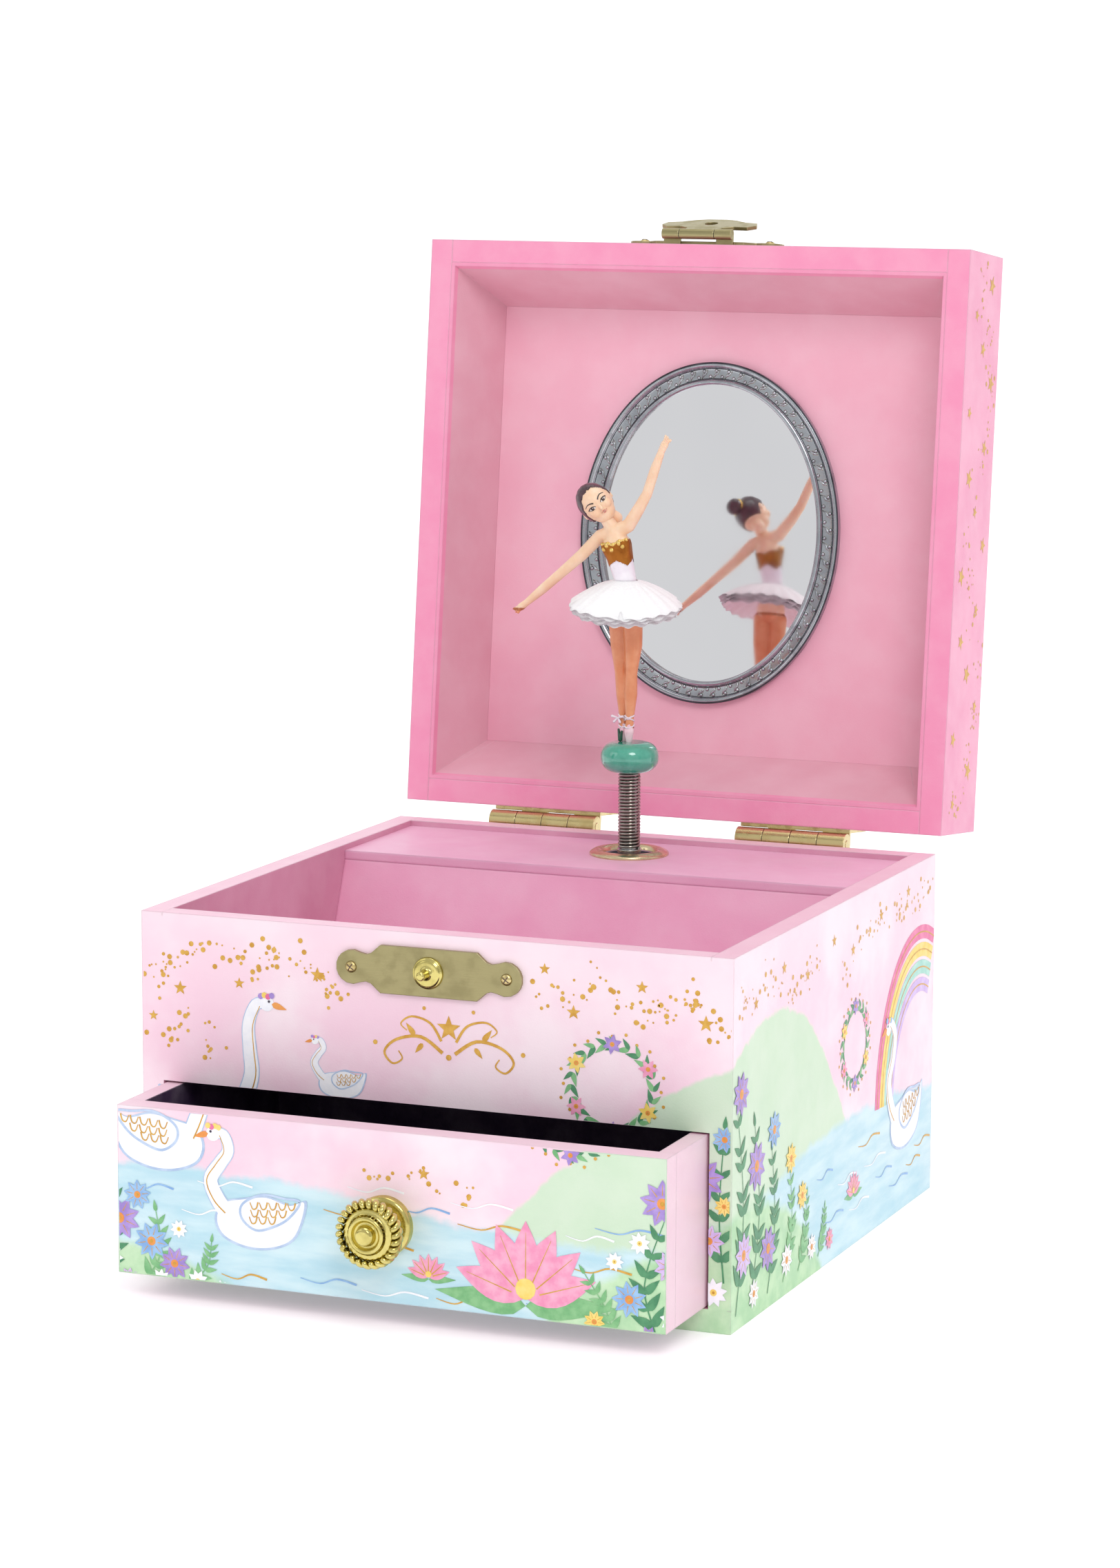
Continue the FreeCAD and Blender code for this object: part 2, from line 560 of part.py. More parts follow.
def make_movement_frame():
    """Bedplate, barrel bridge, governor brackets and their screws."""
    bed = new_body("movement_bedplate")
    add_box(bed, ("-20", "26"), ("bedplate_front", INNER), ("bedplate_bottom", "bedplate_top"))
    add_cylinder(bed, "arbor_bore", ("0", "bedplate_front - 1", "barrel_height"), "6", "Y", cut=True)
    add_box(bed, ("-comb_end - 0.5", "-comb_root"), ("spindle_y + comb_plate / 2", "bedplate_front"),
            ("cylinder_bottom - 1", "cylinder_top + 1"))

    bridge = new_body("barrel_bridge")
    add_box(bridge, ("-16.5", "16.5"), ("40.5", "42"), ("22", "31"))
    add_box(bridge, ("-3", "3"), ("42", "45"), ("29.3", "31"))
    for side in (-1, 1):
        add_cylinder(bridge, "1.6", (f"14.4 * {side}", "42", "barrel_height"), "bedplate_front - 42", "Y")
    add_cylinder(bridge, "pivot_bore", ("0", "40", "barrel_height"), "3", "Y", cut=True)
    add_cylinder(bridge, "pivot_bore", ("0", "spindle_y", "29"), "3", "Z", cut=True)
    for side in (-1, 1):
        add_cylinder(bridge, "screw_radius", (f"14.4 * {side}", "40", "barrel_height"), "10", "Y", cut=True)

    top = new_body("top_bridge")
    add_box(top, ("-6", "26"), ("38", "bedplate_front"), ("63", "64.5"))
    add_box(top, ("-6", "26"), ("bedplate_front - 1.5", "bedplate_front"), ("59.6", "63"))
    for across in ("0", str(GOVERNOR.x), str(FAN.x)):
        bore = "pivot_bore" if across == "0" else "0.85"
        add_cylinder(top, bore, (across, "spindle_y", "62"), "4", "Z", cut=True)
    for across in ("3", "20"):
        add_cylinder(top, "screw_hole", (across, "bedplate_front - 3", "61.3"), "5", "Y", cut=True)

    low = new_body("governor_bracket")
    add_box(low, ("8.5", "26"), ("38", "bedplate_front"), ("40.2", "41.7"))
    add_box(low, ("14", "26"), ("bedplate_front - 1.5", "bedplate_front"), ("36.5", "40.2"))
    for across in (str(GOVERNOR.x), str(FAN.x)):
        add_cylinder(low, "0.85", (across, "spindle_y", "40"), "3", "Z", cut=True)
    for across in ("17", "23"):
        add_cylinder(low, "screw_hole", (across, "bedplate_front - 3", "38.2"), "5", "Y", cut=True)

    flange = [("3", "61.3"), ("20", "61.3"), ("17", "38.2"), ("23", "38.2")]
    screws = make_screws("movement_screws", flange, "bedplate_front - 1.5", -1)
    bridge_spots = [("-14.4", "barrel_height"), ("14.4", "barrel_height")]
    add_screws(screws, bridge_spots, "40.5", -1)


def make_comb():
    """Steel comb with one tooth per note, and its two screws."""
    comb = new_body("comb")
    y = ("spindle_y - comb_plate / 2", "spindle_y + comb_plate / 2")
    add_box(comb, ("-comb_end", "-comb_root"), y, ("cylinder_bottom", "cylinder_top"))
    middle = "-(comb_end + comb_root) / 2"
    spots = [(middle, "cylinder_bottom + 4"), (middle, "cylinder_top - 4")]
    for across, height in spots:
        add_cylinder(comb, "screw_hole", (across, "spindle_y - 2", height), "4", "Y", cut=True)
    pitch = "(cylinder_top - cylinder_bottom) / comb_teeth"
    tooth = add_box(comb, ("-comb_root - 0.5", "-comb_tip"), y,
                    (f"cylinder_bottom + {pitch} * 0.1", f"cylinder_bottom + {pitch} * 0.9"))
    row = comb.newObject("PartDesign::LinearPattern", "comb_row")
    row.Originals = [tooth]
    row.Direction = ([item for item in comb.Origin.OriginFeatures if item.Role == "Z_Axis"][0], [""])
    row.setExpression("Length", bound(f"(comb_teeth - 1) * {pitch}"))
    row.setExpression("Occurrences", bound("comb_teeth"))
    comb.Tip = row
    make_screws("comb_screws", spots, "spindle_y - comb_plate / 2", -1)


PIN_RADIUS = 0.14
PIN_ROOT = 0.5


def make_cylinder():
    """Pinned cylinder, its spindle, and the pinion and gear on it."""
    bottom = size("cylinder_bottom")
    top = size("cylinder_top")
    teeth = int(size("comb_teeth"))
    drum = bar(size("cylinder_radius"), bottom, top, SPINDLE)
    pin_length = size("pin_tip_radius") - size("cylinder_radius") + PIN_ROOT
    pins = []
    for track in range(teeth):
        height = bottom + (track + 0.5) * (top - bottom) / teeth
        for beat in range(3):
            turn = math.radians(137.5 * track + 97 * beat)
            out = Vector(math.cos(turn), math.sin(turn), 0)
            foot = SPINDLE + out * (size("cylinder_radius") - PIN_ROOT) + Vector(0, 0, height)
            pins.append(Part.makeCylinder(PIN_RADIUS, pin_length, foot, out))
    hole = bar(size("spindle_radius"), bottom - 1, top + 1, SPINDLE)
    add_node("pinned_cylinder", drum.multiFuse(pins).cut(hole))

    spindle = new_body("spindle")
    place = ("0", "spindle_y")
    add_cylinder(spindle, "pivot_radius", place + ("29.3",), "shelf_top - 35", "Z")
    add_cylinder(spindle, "plug_radius", place + ("65",), "base_height + 3 - 65", "Z")
    add_cylinder(spindle, "collar_radius", place + ("base_height - 2",), "2", "Z")

    pinion = toothed_wheel(PINION, size("coarse_module"), 35.4, 1.2, SPINDLE, PINION_START, False)
    hub = bar(1.9, 36.6, bottom, SPINDLE)
    add_node("cylinder_pinion", pinion.fuse(hub).cut(bar(size("spindle_radius"), 30, 40, SPINDLE)))

    gear = toothed_wheel(size("gear_teeth"), FINE, 57, 1.5, SPINDLE, 0, True)
    collar = bar(2.6, top, 57, SPINDLE)
    add_node("cylinder_gear", gear.fuse(collar).cut(bar(size("spindle_radius"), 50, 60, SPINDLE)))


def make_governor():
    """Wheel and fan that hold the speed of the cylinder."""
    pinion = toothed_wheel(PINION, FINE, 57, 1.5, GOVERNOR, PINION_START, False)
    wheel = toothed_wheel(size("governor_teeth"), FINE, 60, 1, GOVERNOR, 0, True)
    arbor = bar(0.8, 40.2, 64.5, GOVERNOR)
    add_node("governor_wheel", arbor.fuse([pinion, wheel]))

    small = toothed_wheel(PINION, FINE, 60, 1, FAN, PINION_START, False)
    staff = bar(0.8, 40.2, 64.5, FAN)
    low = size("fan_bottom")
    span = 2 * size("fan_radius")
    blade = Part.makeBox(span, 0.6, size("fan_top") - low, FAN + Vector(-span / 2, -0.3, low))
    add_node("governor_fan", staff.fuse([small, blade]))


def make_barrel():
    """Spring barrel with a crown of teeth, and the mainspring inside it."""
    axis = Vector(0, 0, size("barrel_height"))
    along = Vector(0, 1, 0)
    front = size("barrel_front")
    back = size("barrel_back")
    wall = 1
    drum = Part.makeCylinder(size("barrel_radius"), back - front, axis + along * front, along)
    room_radius = size("barrel_radius") - wall
    room = Part.makeCylinder(room_radius, back - front - 2 * wall, axis + along * (front + wall), along)
    bore = Part.makeCylinder(size("arbor_bore"), 20, axis + along * 40, along)
    teeth = []
    half = size("crown_tooth") / 2
    depth = front - size("crown_tip")
    for index in range(int(size("crown_teeth"))):
        tooth = Part.makeBox(2 * half, depth + 0.3, size("crown_outer") - size("crown_inner"),
                             Vector(-half, size("crown_tip"), size("barrel_height") + size("crown_inner")))
        tooth.rotate(axis, along, 360 * index / size("crown_teeth"))
        teeth.append(tooth)
    add_node("spring_barrel", drum.multiFuse(teeth).cut(room).cut(bore))

    start = size("arbor_radius") + 0.4
    gap = (size("barrel_radius") - wall - 0.5 - start) / 8
    steps = 24
    inner = []
    outer = []
    for step in range(8 * steps + 1):
        turn = 2 * math.pi * step / steps
        radius = start + gap * step / steps
        way = Vector(math.cos(turn), 0, math.sin(turn))
        inner.append(axis + along * (front + 1.6) + way * radius)
        outer.append(axis + along * (front + 1.6) + way * (radius + 0.35))
    strip = Part.Face(Part.makePolygon(inner + outer[::-1] + inner[:1]))
    add_node("mainspring", strip.extrude(along * (back - front - 3.2)))


def make_key():
    """Winding arbor and the butterfly key on the back."""
    arbor = new_body("winding_arbor")
    add_cylinder(arbor, "pivot_radius", ("0", "40.5", "barrel_height"), "4", "Y")
    add_cylinder(arbor, "arbor_radius", ("0", "44", "barrel_height"), f"{HALF} + 6 - 44", "Y")

    key = new_body("winding_key")
    add_cylinder(key, "key_stem_radius", ("0", f"{HALF} + 1.5", "barrel_height"), "6.5", "Y")
    half = [("2.4", "7"), ("4", "6.4"), ("6.4", "7.6"), ("key_half_width", "10"), ("key_half_width", "13.4"),
            ("7", "16"), ("4.4", "16.4"), ("1.6", "14.6")]
    outline = [(across, along) for across, along in half] + [(f"0 - ({across})", along)
                                                             for across, along in reversed(half)]
    wings = add_sketch(key, "XY_Plane", [(across, f"{HALF} + {along}") for across, along in outline])
    wings.MapMode = "Deactivated"
    wings.setExpression("Placement.Base.z", bound("barrel_height - key_thickness / 2"))
    add_pad(key, wings, "key_thickness")
    add_cylinder(key, "arbor_radius", ("0", f"{HALF}", "barrel_height"), "6", "Y", cut=True)


# ---------------------------------------------------------------- spring and figure

def make_spring():
    """Close-wound spring that carries the figure and bends when the lid shuts."""
    helix = doc.addObject("Part::Helix", "spring_path")
    helix.setExpression("Pitch", bound("coil_pitch"))
    helix.setExpression("Height", bound("spring_length - 2 * wire_radius"))
    helix.setExpression("Radius", bound("coil_radius"))
    helix.SegmentLength = 1
    wire = doc.addObject("Part::Circle", "spring_wire")
    wire.setExpression("Radius", bound("wire_radius"))
    upright = FreeCAD.Rotation(Vector(1, 0, 0), 90)
    wire.Placement = FreeCAD.Placement(Vector(size("coil_radius"), 0, 0), upright)
    doc.recompute()
    spring = doc.addObject("Part::Sweep", "figure_spring")
    spring.Label = "figure_spring"
    spring.Sections = [wire]
    spring.Spine = (helix, [f"Edge{index + 1}" for index in range(len(helix.Shape.Edges))])
    spring.Solid = True
    spring.Frenet = True
    spring.setExpression("Placement.Base.y", bound("spindle_y"))
    spring.setExpression("Placement.Base.z", bound("base_height + wire_radius"))
    NODES.append(spring)


def make_bead():
    """Bead that the figure stands on, with a socket for the spring."""
    bead = new_body("figure_bead")
    ball = add_cylinder(bead, "bead_radius", ("0", "spindle_y", "bead_bottom"), "bead_height", "Z")
    doc.recompute()
    rims = [f"Edge{index + 1}" for index, edge in enumerate(ball.Shape.Edges) if edge.Closed]
    add_fillet(bead, ball, rims, "bead_height * 0.46")
    add_cylinder(bead, "bead_socket", ("0", "spindle_y", "bead_bottom - 0.5"), "2.1", "Z", cut=True)


FIGURE_POINTS = {
    "toe_front": (0.1, -0.7, 96.0), "ankle_front": (0.2, -0.6, 100.4), "knee_front": (0.4, -0.3, 110.0),
    "toe_back": (-1.6, 0.7, 96.0), "ankle_back": (-1.7, 0.6, 100.4), "knee_back": (-2.4, 0.3, 110.0),
    "hip_front": (1.0, 0, 121.5), "hip_back": (-3.0, 0, 121.5), "pelvis": (-1.1, 0, 123.0),
    "waist": (-1.0, 0, 131.4), "chest": (-3.1, 0, 139.2), "throat": (-4.4, 0, 142.0),
    "shoulder_up": (-0.9, 0, 142.9), "elbow_up": (3.5, -0.5, 149.1), "hand_up": (8.3, -1.0, 160.9),
    "shoulder_out": (-7.0, 0, 139.9), "elbow_out": (-15.7, -1.0, 131.6), "hand_out": (-25.3, -2.0, 123.4),
    "head": (-8.4, 0, 146.7), "bun": (-10.0, 3.2, 149.4),
}

FIGURE_LIMBS = (
    ("toe_front", "ankle_front", 0.8, 1.0), ("ankle_front", "knee_front", 1.0, 1.5),
    ("knee_front", "hip_front", 1.5, 2.1), ("toe_back", "ankle_back", 0.8, 1.0),
    ("ankle_back", "knee_back", 1.0, 1.5), ("knee_back", "hip_back", 1.5, 2.1),
    ("pelvis", "waist", 3.4, 2.2), ("waist", "chest", 2.2, 3.0), ("chest", "throat", 3.0, 1.4),
    ("throat", "head", 1.2, 1.1), ("shoulder_up", "elbow_up", 1.2, 0.95), ("elbow_up", "hand_up", 0.95, 0.7),
    ("shoulder_out", "elbow_out", 1.2, 0.95), ("elbow_out", "hand_out", 0.95, 0.7),
    ("throat", "shoulder_up", 1.5, 1.3), ("throat", "shoulder_out", 1.5, 1.3),
)

FIGURE_BALLS = {
    "head": 4.0, "bun": 2.3, "throat": 1.65, "chest": 3.15, "waist": 2.35, "pelvis": 3.55,
    "hip_front": 2.2, "knee_front": 1.6, "ankle_front": 1.08,
    "hip_back": 2.2, "knee_back": 1.6, "ankle_back": 1.08,
    "shoulder_up": 1.4, "elbow_up": 1.02, "hand_up": 0.8,
    "shoulder_out": 1.4, "elbow_out": 1.02, "hand_out": 0.8,
}


TUTU_HEM = 0.4
TUTU_HIP = 4.2
TUTU_WAIST = 2.9


def make_figure():
    """Moulded dancer of plain limbs and balls, and its net skirt."""
    points = {name: SPINDLE + Vector(*place) for name, place in FIGURE_POINTS.items()}
    solids = []
    for start, end, start_radius, end_radius in FIGURE_LIMBS:
        way = points[end] - points[start]
        solids.append(Part.makeCone(start_radius, end_radius, way.Length, points[start], way))
    for name, radius in FIGURE_BALLS.items():
        solids.append(Part.makeSphere(radius, points[name]))
    top = size("bead_bottom") + size("bead_height")
    keep = Part.makeBox(200, 200, 200, Vector(-100, -100, top))
    figure = solids[0].multiFuse(solids[1:]).common(keep)
    add_node("ballerina_figure", figure)

    middle = SPINDLE + Vector(size("tutu_shift"), 0, 0)
    rim_low = size("tutu_rim") - TUTU_HEM
    rim_high = size("tutu_rim") + TUTU_HEM
    under = Part.makeCone(TUTU_HIP, size("tutu_radius"), rim_low - size("tutu_bottom"),
                          middle + Vector(0, 0, size("tutu_bottom")))
    edge = bar(size("tutu_radius"), rim_low, rim_high, middle)
    over = Part.makeCone(size("tutu_radius"), TUTU_WAIST, size("tutu_top") - rim_high,
                         middle + Vector(0, 0, rim_high))
    add_node("tutu", under.fuse([edge, over]).cut(figure))


# ---------------------------------------------------------------- build, test and write

make_base()
make_ferrule()
make_lid()
make_lid_liner()
make_mirror()
make_hinges()
make_latch()
make_hasp()
make_drawer()
make_movement_frame()
make_comb()
make_cylinder()
make_governor()
make_barrel()
make_key()
make_spring()
make_bead()
make_figure()
doc.recompute()

for item in doc.Objects:
    if "Invalid" in item.State or "Error" in item.State:
        raise RuntimeError(f"{item.Label} did not build: {item.State}")
for piece in NODES:
    if piece.Shape.isNull() or not piece.Shape.isValid():
        raise RuntimeError(f"{piece.Label} has no valid shape")

os.makedirs("parts", exist_ok=True)
for piece in NODES:
    piece.Shape.exportStep(f"parts/{piece.Label}.step")
print(len(NODES), "pieces written")
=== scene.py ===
"""Looks of the ballerina jewellery box: papers, printed art, metals, mirror, spring and the painted dancer."""
import json
import math
import random
from functools import partialmethod

import bmesh
import bpy
from mathutils import Matrix, Vector
from mathutils.bvhtree import BVHTree
from mathutils.geometry import tessellate_polygon


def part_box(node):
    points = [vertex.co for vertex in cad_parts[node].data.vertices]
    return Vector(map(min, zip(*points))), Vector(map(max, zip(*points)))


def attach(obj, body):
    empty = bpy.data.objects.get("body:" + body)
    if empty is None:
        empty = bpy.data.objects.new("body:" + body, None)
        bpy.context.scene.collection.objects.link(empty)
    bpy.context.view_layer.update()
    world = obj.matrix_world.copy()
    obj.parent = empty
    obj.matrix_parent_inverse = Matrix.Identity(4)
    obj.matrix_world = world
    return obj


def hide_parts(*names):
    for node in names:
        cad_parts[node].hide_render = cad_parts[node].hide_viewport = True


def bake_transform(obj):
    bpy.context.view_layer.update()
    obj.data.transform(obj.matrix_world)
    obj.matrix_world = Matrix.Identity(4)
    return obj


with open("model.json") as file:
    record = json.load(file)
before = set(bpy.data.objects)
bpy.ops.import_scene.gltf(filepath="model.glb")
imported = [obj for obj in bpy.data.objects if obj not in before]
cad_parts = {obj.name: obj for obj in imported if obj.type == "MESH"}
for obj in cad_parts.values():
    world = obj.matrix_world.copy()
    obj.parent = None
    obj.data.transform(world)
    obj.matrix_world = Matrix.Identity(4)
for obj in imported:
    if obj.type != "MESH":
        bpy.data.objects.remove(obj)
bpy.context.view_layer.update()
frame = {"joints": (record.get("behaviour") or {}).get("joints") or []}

MM = 0.001
JOINTS = {joint["name"]: joint for joint in frame["joints"]}


def span(node):
    """Lowest and highest corners of a CAD node, in millimetres."""
    low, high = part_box(node)
    return Vector(low) / MM, Vector(high) / MM


CASE_LOW, CASE_HIGH = span("left_side")
HALF = -CASE_LOW.x
RIM = CASE_HIGH.z
DRAWER_LOW, DRAWER_HIGH = span("drawer_front")
FRONT_LOW, FRONT_HIGH = span("front_panel")
HINGE = Vector(JOINTS["lid_hinge"]["pos_m"]) / MM
LID_TURN = math.radians(-JOINTS["lid_hinge"]["range_deg"][1])
LID_HEIGHT = 24
CORNER_SHARE = 0.35  # how much of each side a rounded corner takes
TO_OPEN = Matrix.Translation(HINGE) @ Matrix.Rotation(LID_TURN, 4, "X") @ Matrix.Translation(-HINGE)
SPIN = Vector(JOINTS["figure_spin"]["pos_m"]) / MM
BEAD_TOP = span("figure_bead")[1].z


# ---------------------------------------------------------------- mesh helpers

def turns(count, start=0.0):
    """Evenly spaced angles round a circle."""
    return [2 * math.pi * (step + start) / count for step in range(count)]


def around(centre, radius, angle):
    """The point at an angle on a circle, as a pair."""
    return centre[0] + radius * math.cos(angle), centre[1] + radius * math.sin(angle)


def make_piece(name, points, faces, material, body=None, smooth=True):
    """A mesh piece from points in millimetres, riding on a body."""
    mesh = bpy.data.meshes.new(name)
    mesh.from_pydata([Vector(point) * MM for point in points], [], faces)
    mesh.materials.append(material)
    mesh.polygons.foreach_set("use_smooth", [smooth] * len(mesh.polygons))
    mesh.update()
    piece = bpy.data.objects.new(name, mesh)
    bpy.context.scene.collection.objects.link(piece)
    if body:
        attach(piece, body)
    return piece


def grid_faces(rows, columns, close_rows=False, close_columns=True):
    """Quads over a grid of points stored row by row."""
    faces = []
    for row in range(rows if close_rows else rows - 1):
        for column in range(columns if close_columns else columns - 1):
            across = (column + 1) % columns
            down = (row + 1) % rows
            faces.append((row * columns + column, row * columns + across, down * columns + across,
                          down * columns + column))
    return faces


def lathe(profile, centre, axis="Z", steps=64):
    """Points and faces of a round form. The profile is (radius, height) pairs along the axis."""
    points = []
    for radius, height in profile:
        for turn in turns(steps):
            across = Vector((radius * math.cos(turn), radius * math.sin(turn), height))
            if axis == "Y":
                across = Vector((across.x, across.z, across.y))
            points.append(Vector(centre) + across)
    return points, grid_faces(len(profile), steps)


def rounded(points, per_corner=5):
    """A profile with each inner corner turned into a small curve."""
    result = [Vector(points[0])]
    for before, corner, after in zip(points, points[1:], points[2:]):
        before, corner, after = Vector(before), Vector(corner), Vector(after)
        start = corner.lerp(before, CORNER_SHARE)
        end = corner.lerp(after, CORNER_SHARE)
        for step in range(per_corner + 1):
            t = step / per_corner
            result.append(start.lerp(corner, t).lerp(corner.lerp(end, t), t))
    result.append(Vector(points[-1]))
    return [tuple(point) for point in result]


def tube(path, radius, sides=8, closed=False):
    """A round bar along points; radius is a number or one number per point."""
    radii = radius if isinstance(radius, (list, tuple)) else [radius] * len(path)
    path = [Vector(point) for point in path]
    points = []
    side = None
    count = len(path)
    for index, point in enumerate(path):
        ahead = path[(index + 1) % count] if closed or index < count - 1 else point
        behind = path[index - 1] if closed or index else point
        along = (ahead - behind).normalized()
        if side is None:
            side = along.orthogonal().normalized()
        side = (side - along * side.dot(along)).normalized()
        other = along.cross(side)
        for turn in turns(sides):
            points.append(point + radii[index] * (side * math.cos(turn) + other * math.sin(turn)))
    faces = grid_faces(count, sides, close_rows=closed)
    if not closed:
        faces.append(tuple(range(sides))[::-1])
        faces.append(tuple(range((count - 1) * sides, count * sides)))
    return points, faces


def joined(parts):
    """Several (points, faces) pairs as one."""
    points = []
    faces = []
    for part_points, part_faces in parts:
        offset = len(points)
        points.extend(part_points)
        faces.extend(tuple(index + offset for index in face) for face in part_faces)
    return points, faces


def moved(part, matrix):
    """A (points, faces) pair moved by a matrix in millimetres."""
    points, faces = part
    return [matrix @ Vector(point) for point in points], faces


# ---------------------------------------------------------------- material helpers

def rgb(text):
    """A linear colour from an sRGB hex string."""
    values = [int(text[index:index + 2], 16) / 255 for index in (0, 2, 4)]
    return tuple(value / 12.92 if value < 0.04045 else ((value + 0.055) / 1.055) ** 2.4 for value in values) + (1,)


class Surface:
    """A Principled material with short names for the nodes that it uses."""

    def __init__(self, name, roughness=0.5, metallic=0.0, coat=0.0, sheen=0.0):
        self.material = bpy.data.materials.new(name)
        self.material.use_nodes = True
        self.tree = self.material.node_tree
        self.shader = self.tree.nodes["Principled BSDF"]
        self.set(Roughness=roughness, Metallic=metallic, Coat_Weight=coat, Coat_Roughness=0.12, Sheen_Weight=sheen)
        place = self.add("ShaderNodeTexCoord")
        scaled = self.add("ShaderNodeVectorMath", operation="SCALE")
        scaled.inputs["Scale"].default_value = 1 / MM
        self.tree.links.new(place.outputs["Object"], scaled.inputs[0])
        self.place = scaled.outputs[0]

    def add(self, kind, **settings):
        node = self.tree.nodes.new(kind)
        for key, value in settings.items():
            setattr(node, key, value)
        return node

    def put(self, socket, value):
        if isinstance(value, bpy.types.NodeSocket):
            self.tree.links.new(value, socket)
        else:
            socket.default_value = value

    def calculate(self, operation, first, second=0.0):
        node = self.add("ShaderNodeMath", operation=operation)
        for socket, value in zip(node.inputs, (first, second)):
            self.put(socket, value)
        return node.outputs[0]

    plus = partialmethod(calculate, "ADD")
    minus = partialmethod(calculate, "SUBTRACT")
    times = partialmethod(calculate, "MULTIPLY")
    over = partialmethod(calculate, "DIVIDE")
    power = partialmethod(calculate, "POWER")
    sine = partialmethod(calculate, "SINE")
    sign = partialmethod(calculate, "SIGN")
    absolute = partialmethod(calculate, "ABSOLUTE")
    larger = partialmethod(calculate, "MAXIMUM")
    above = partialmethod(calculate, "GREATER_THAN")
    below = partialmethod(calculate, "LESS_THAN")

    def parts(self, vector):
        node = self.add("ShaderNodeSeparateXYZ")
        self.put(node.inputs[0], vector)
        return node.outputs

    def stretch(self, vector, scale):
        node = self.add("ShaderNodeVectorMath", operation="MULTIPLY")
        self.put(node.inputs[0], vector)
        node.inputs[1].default_value = scale
        return node.outputs[0]

    def noise(self, size, detail=3.0, vector=None, rough=0.55):
        """Noise from 0 to 1 whose lumps are about the given size in millimetres."""
        node = self.add("ShaderNodeTexNoise")
        self.put(node.inputs["Vector"], vector or self.place)
        node.inputs["Scale"].default_value = 1 / size
        node.inputs["Detail"].default_value = detail
        node.inputs["Roughness"].default_value = rough
        return node.outputs["Fac"]

    def ease(self, value, low, high, start=0.0, end=1.0):
        node = self.add("ShaderNodeMapRange", interpolation_type="SMOOTHSTEP")
        for socket, number in zip(node.inputs, (value, low, high, start, end)):
            self.put(socket, number)
        return node.outputs[0]

    def mix(self, share, first, second, blend="MIX"):
        node = self.add("ShaderNodeMix", data_type="RGBA", blend_type=blend)
        self.put(node.inputs["Factor"], share)
        self.put(node.inputs["A"], first)
        self.put(node.inputs["B"], second)
        return node.outputs["Result"]

    def patches(self, size, detail, low, high, first, second):
        """Two colours in soft patches of about the given size in millimetres."""
        return self.mix(self.ease(self.noise(size, detail), low, high), rgb(first), rgb(second))

    def colour(self, value):
        self.put(self.shader.inputs["Base Color"], value)

    def roughen(self, value):
        self.put(self.shader.inputs["Roughness"], value)

    def roughen_patches(self, size, detail, low, high, smooth, rough):
        """Roughness between two values, in soft patches of about the given size in millimetres."""
        self.roughen(self.ease(self.noise(size, detail), low, high, smooth, rough))

    def set(self, **numbers):
        """Numbers on the shader's own sockets, named with underscores."""
        for name, value in numbers.items():
            self.shader.inputs[name.replace("_", " ")].default_value = value

    def closed_place(self):
        """The place of a point of the lid while the lid is shut."""
        turn = self.add("ShaderNodeVectorRotate", rotation_type="X_AXIS")
        turn.inputs["Center"].default_value = HINGE
        turn.inputs["Angle"].default_value = -LID_TURN
        self.put(turn.inputs["Vector"], self.place)
        return self.parts(turn.outputs[0])

    def bump(self, height, depth, edge=0.0, where=None):
        """Relief of the given depth in millimetres, on edges softened by a small radius."""
        node = self.add("ShaderNodeBump")
        node.inputs["Strength"].default_value = 1.0
        node.inputs["Distance"].default_value = depth * MM
        self.put(node.inputs["Height"], height)
        if edge:
            bevel = self.add("ShaderNodeBevel", samples=6)
            bevel.inputs["Radius"].default_value = edge * MM
            soft = bevel.outputs[0]
            if where is not None:
                sharp = self.add("ShaderNodeNewGeometry").outputs["Normal"]
                chosen = self.add("ShaderNodeMix", data_type="VECTOR")
                self.put(chosen.inputs["Factor"], where)
                self.tree.links.new(sharp, chosen.inputs[4])
                self.tree.links.new(soft, chosen.inputs[5])
                soft = chosen.outputs[1]
            self.tree.links.new(soft, node.inputs["Normal"])
        self.tree.links.new(node.outputs[0], self.shader.inputs["Normal"])

    def edge_wear(self, radius=0.35):
        """1 along the edges of the piece and 0 on its flat faces."""
        bevel = self.add("ShaderNodeBevel", samples=6)
        bevel.inputs["Radius"].default_value = radius * MM
        normal = self.add("ShaderNodeNewGeometry")
        dot = self.add("ShaderNodeVectorMath", operation="DOT_PRODUCT")
        self.tree.links.new(bevel.outputs[0], dot.inputs[0])
        self.tree.links.new(normal.outputs["Normal"], dot.inputs[1])
        return self.ease(dot.outputs["Value"], 0.995, 0.9)


def outer_edges(surface, x, y, z, low, high):
    """1 near the outside corners and rims of a box of boards, and 0 at the joints between its boards."""
    reach = 0.8
    near = HALF - reach
    corner = surface.times(surface.above(surface.absolute(x), near),
                          surface.above(surface.absolute(y), near))
    ends = surface.larger(surface.above(z, high - reach), surface.below(z, low + reach))
    return surface.larger(corner, ends)


def paper_finish(surface, colour, edge=0.5, where=None, wear_strength=0.3):
    """Fine paper relief, faint mottling and paler worn edges over a colour."""
    mottle = surface.noise(9, 4)
    tone = surface.mix(surface.ease(mottle, 0.3, 0.75), colour, rgb("fff6f8"))
    mild = surface.mix(0.1, colour, tone)
    wear = surface.times(surface.edge_wear(), surface.ease(surface.noise(2.5, 4), 0.25, 0.6, 0.35, 1))
    if where is not None:
        wear = surface.times(wear, where)
    surface.colour(surface.mix(surface.times(wear, wear_strength), mild, rgb("fff1f4")))
    fibres = surface.noise(0.35, 5)
    surface.roughen_patches(5, 3, 0.2, 0.8, 0.4, 0.55)
    surface.bump(fibres, 0.03, edge, where)


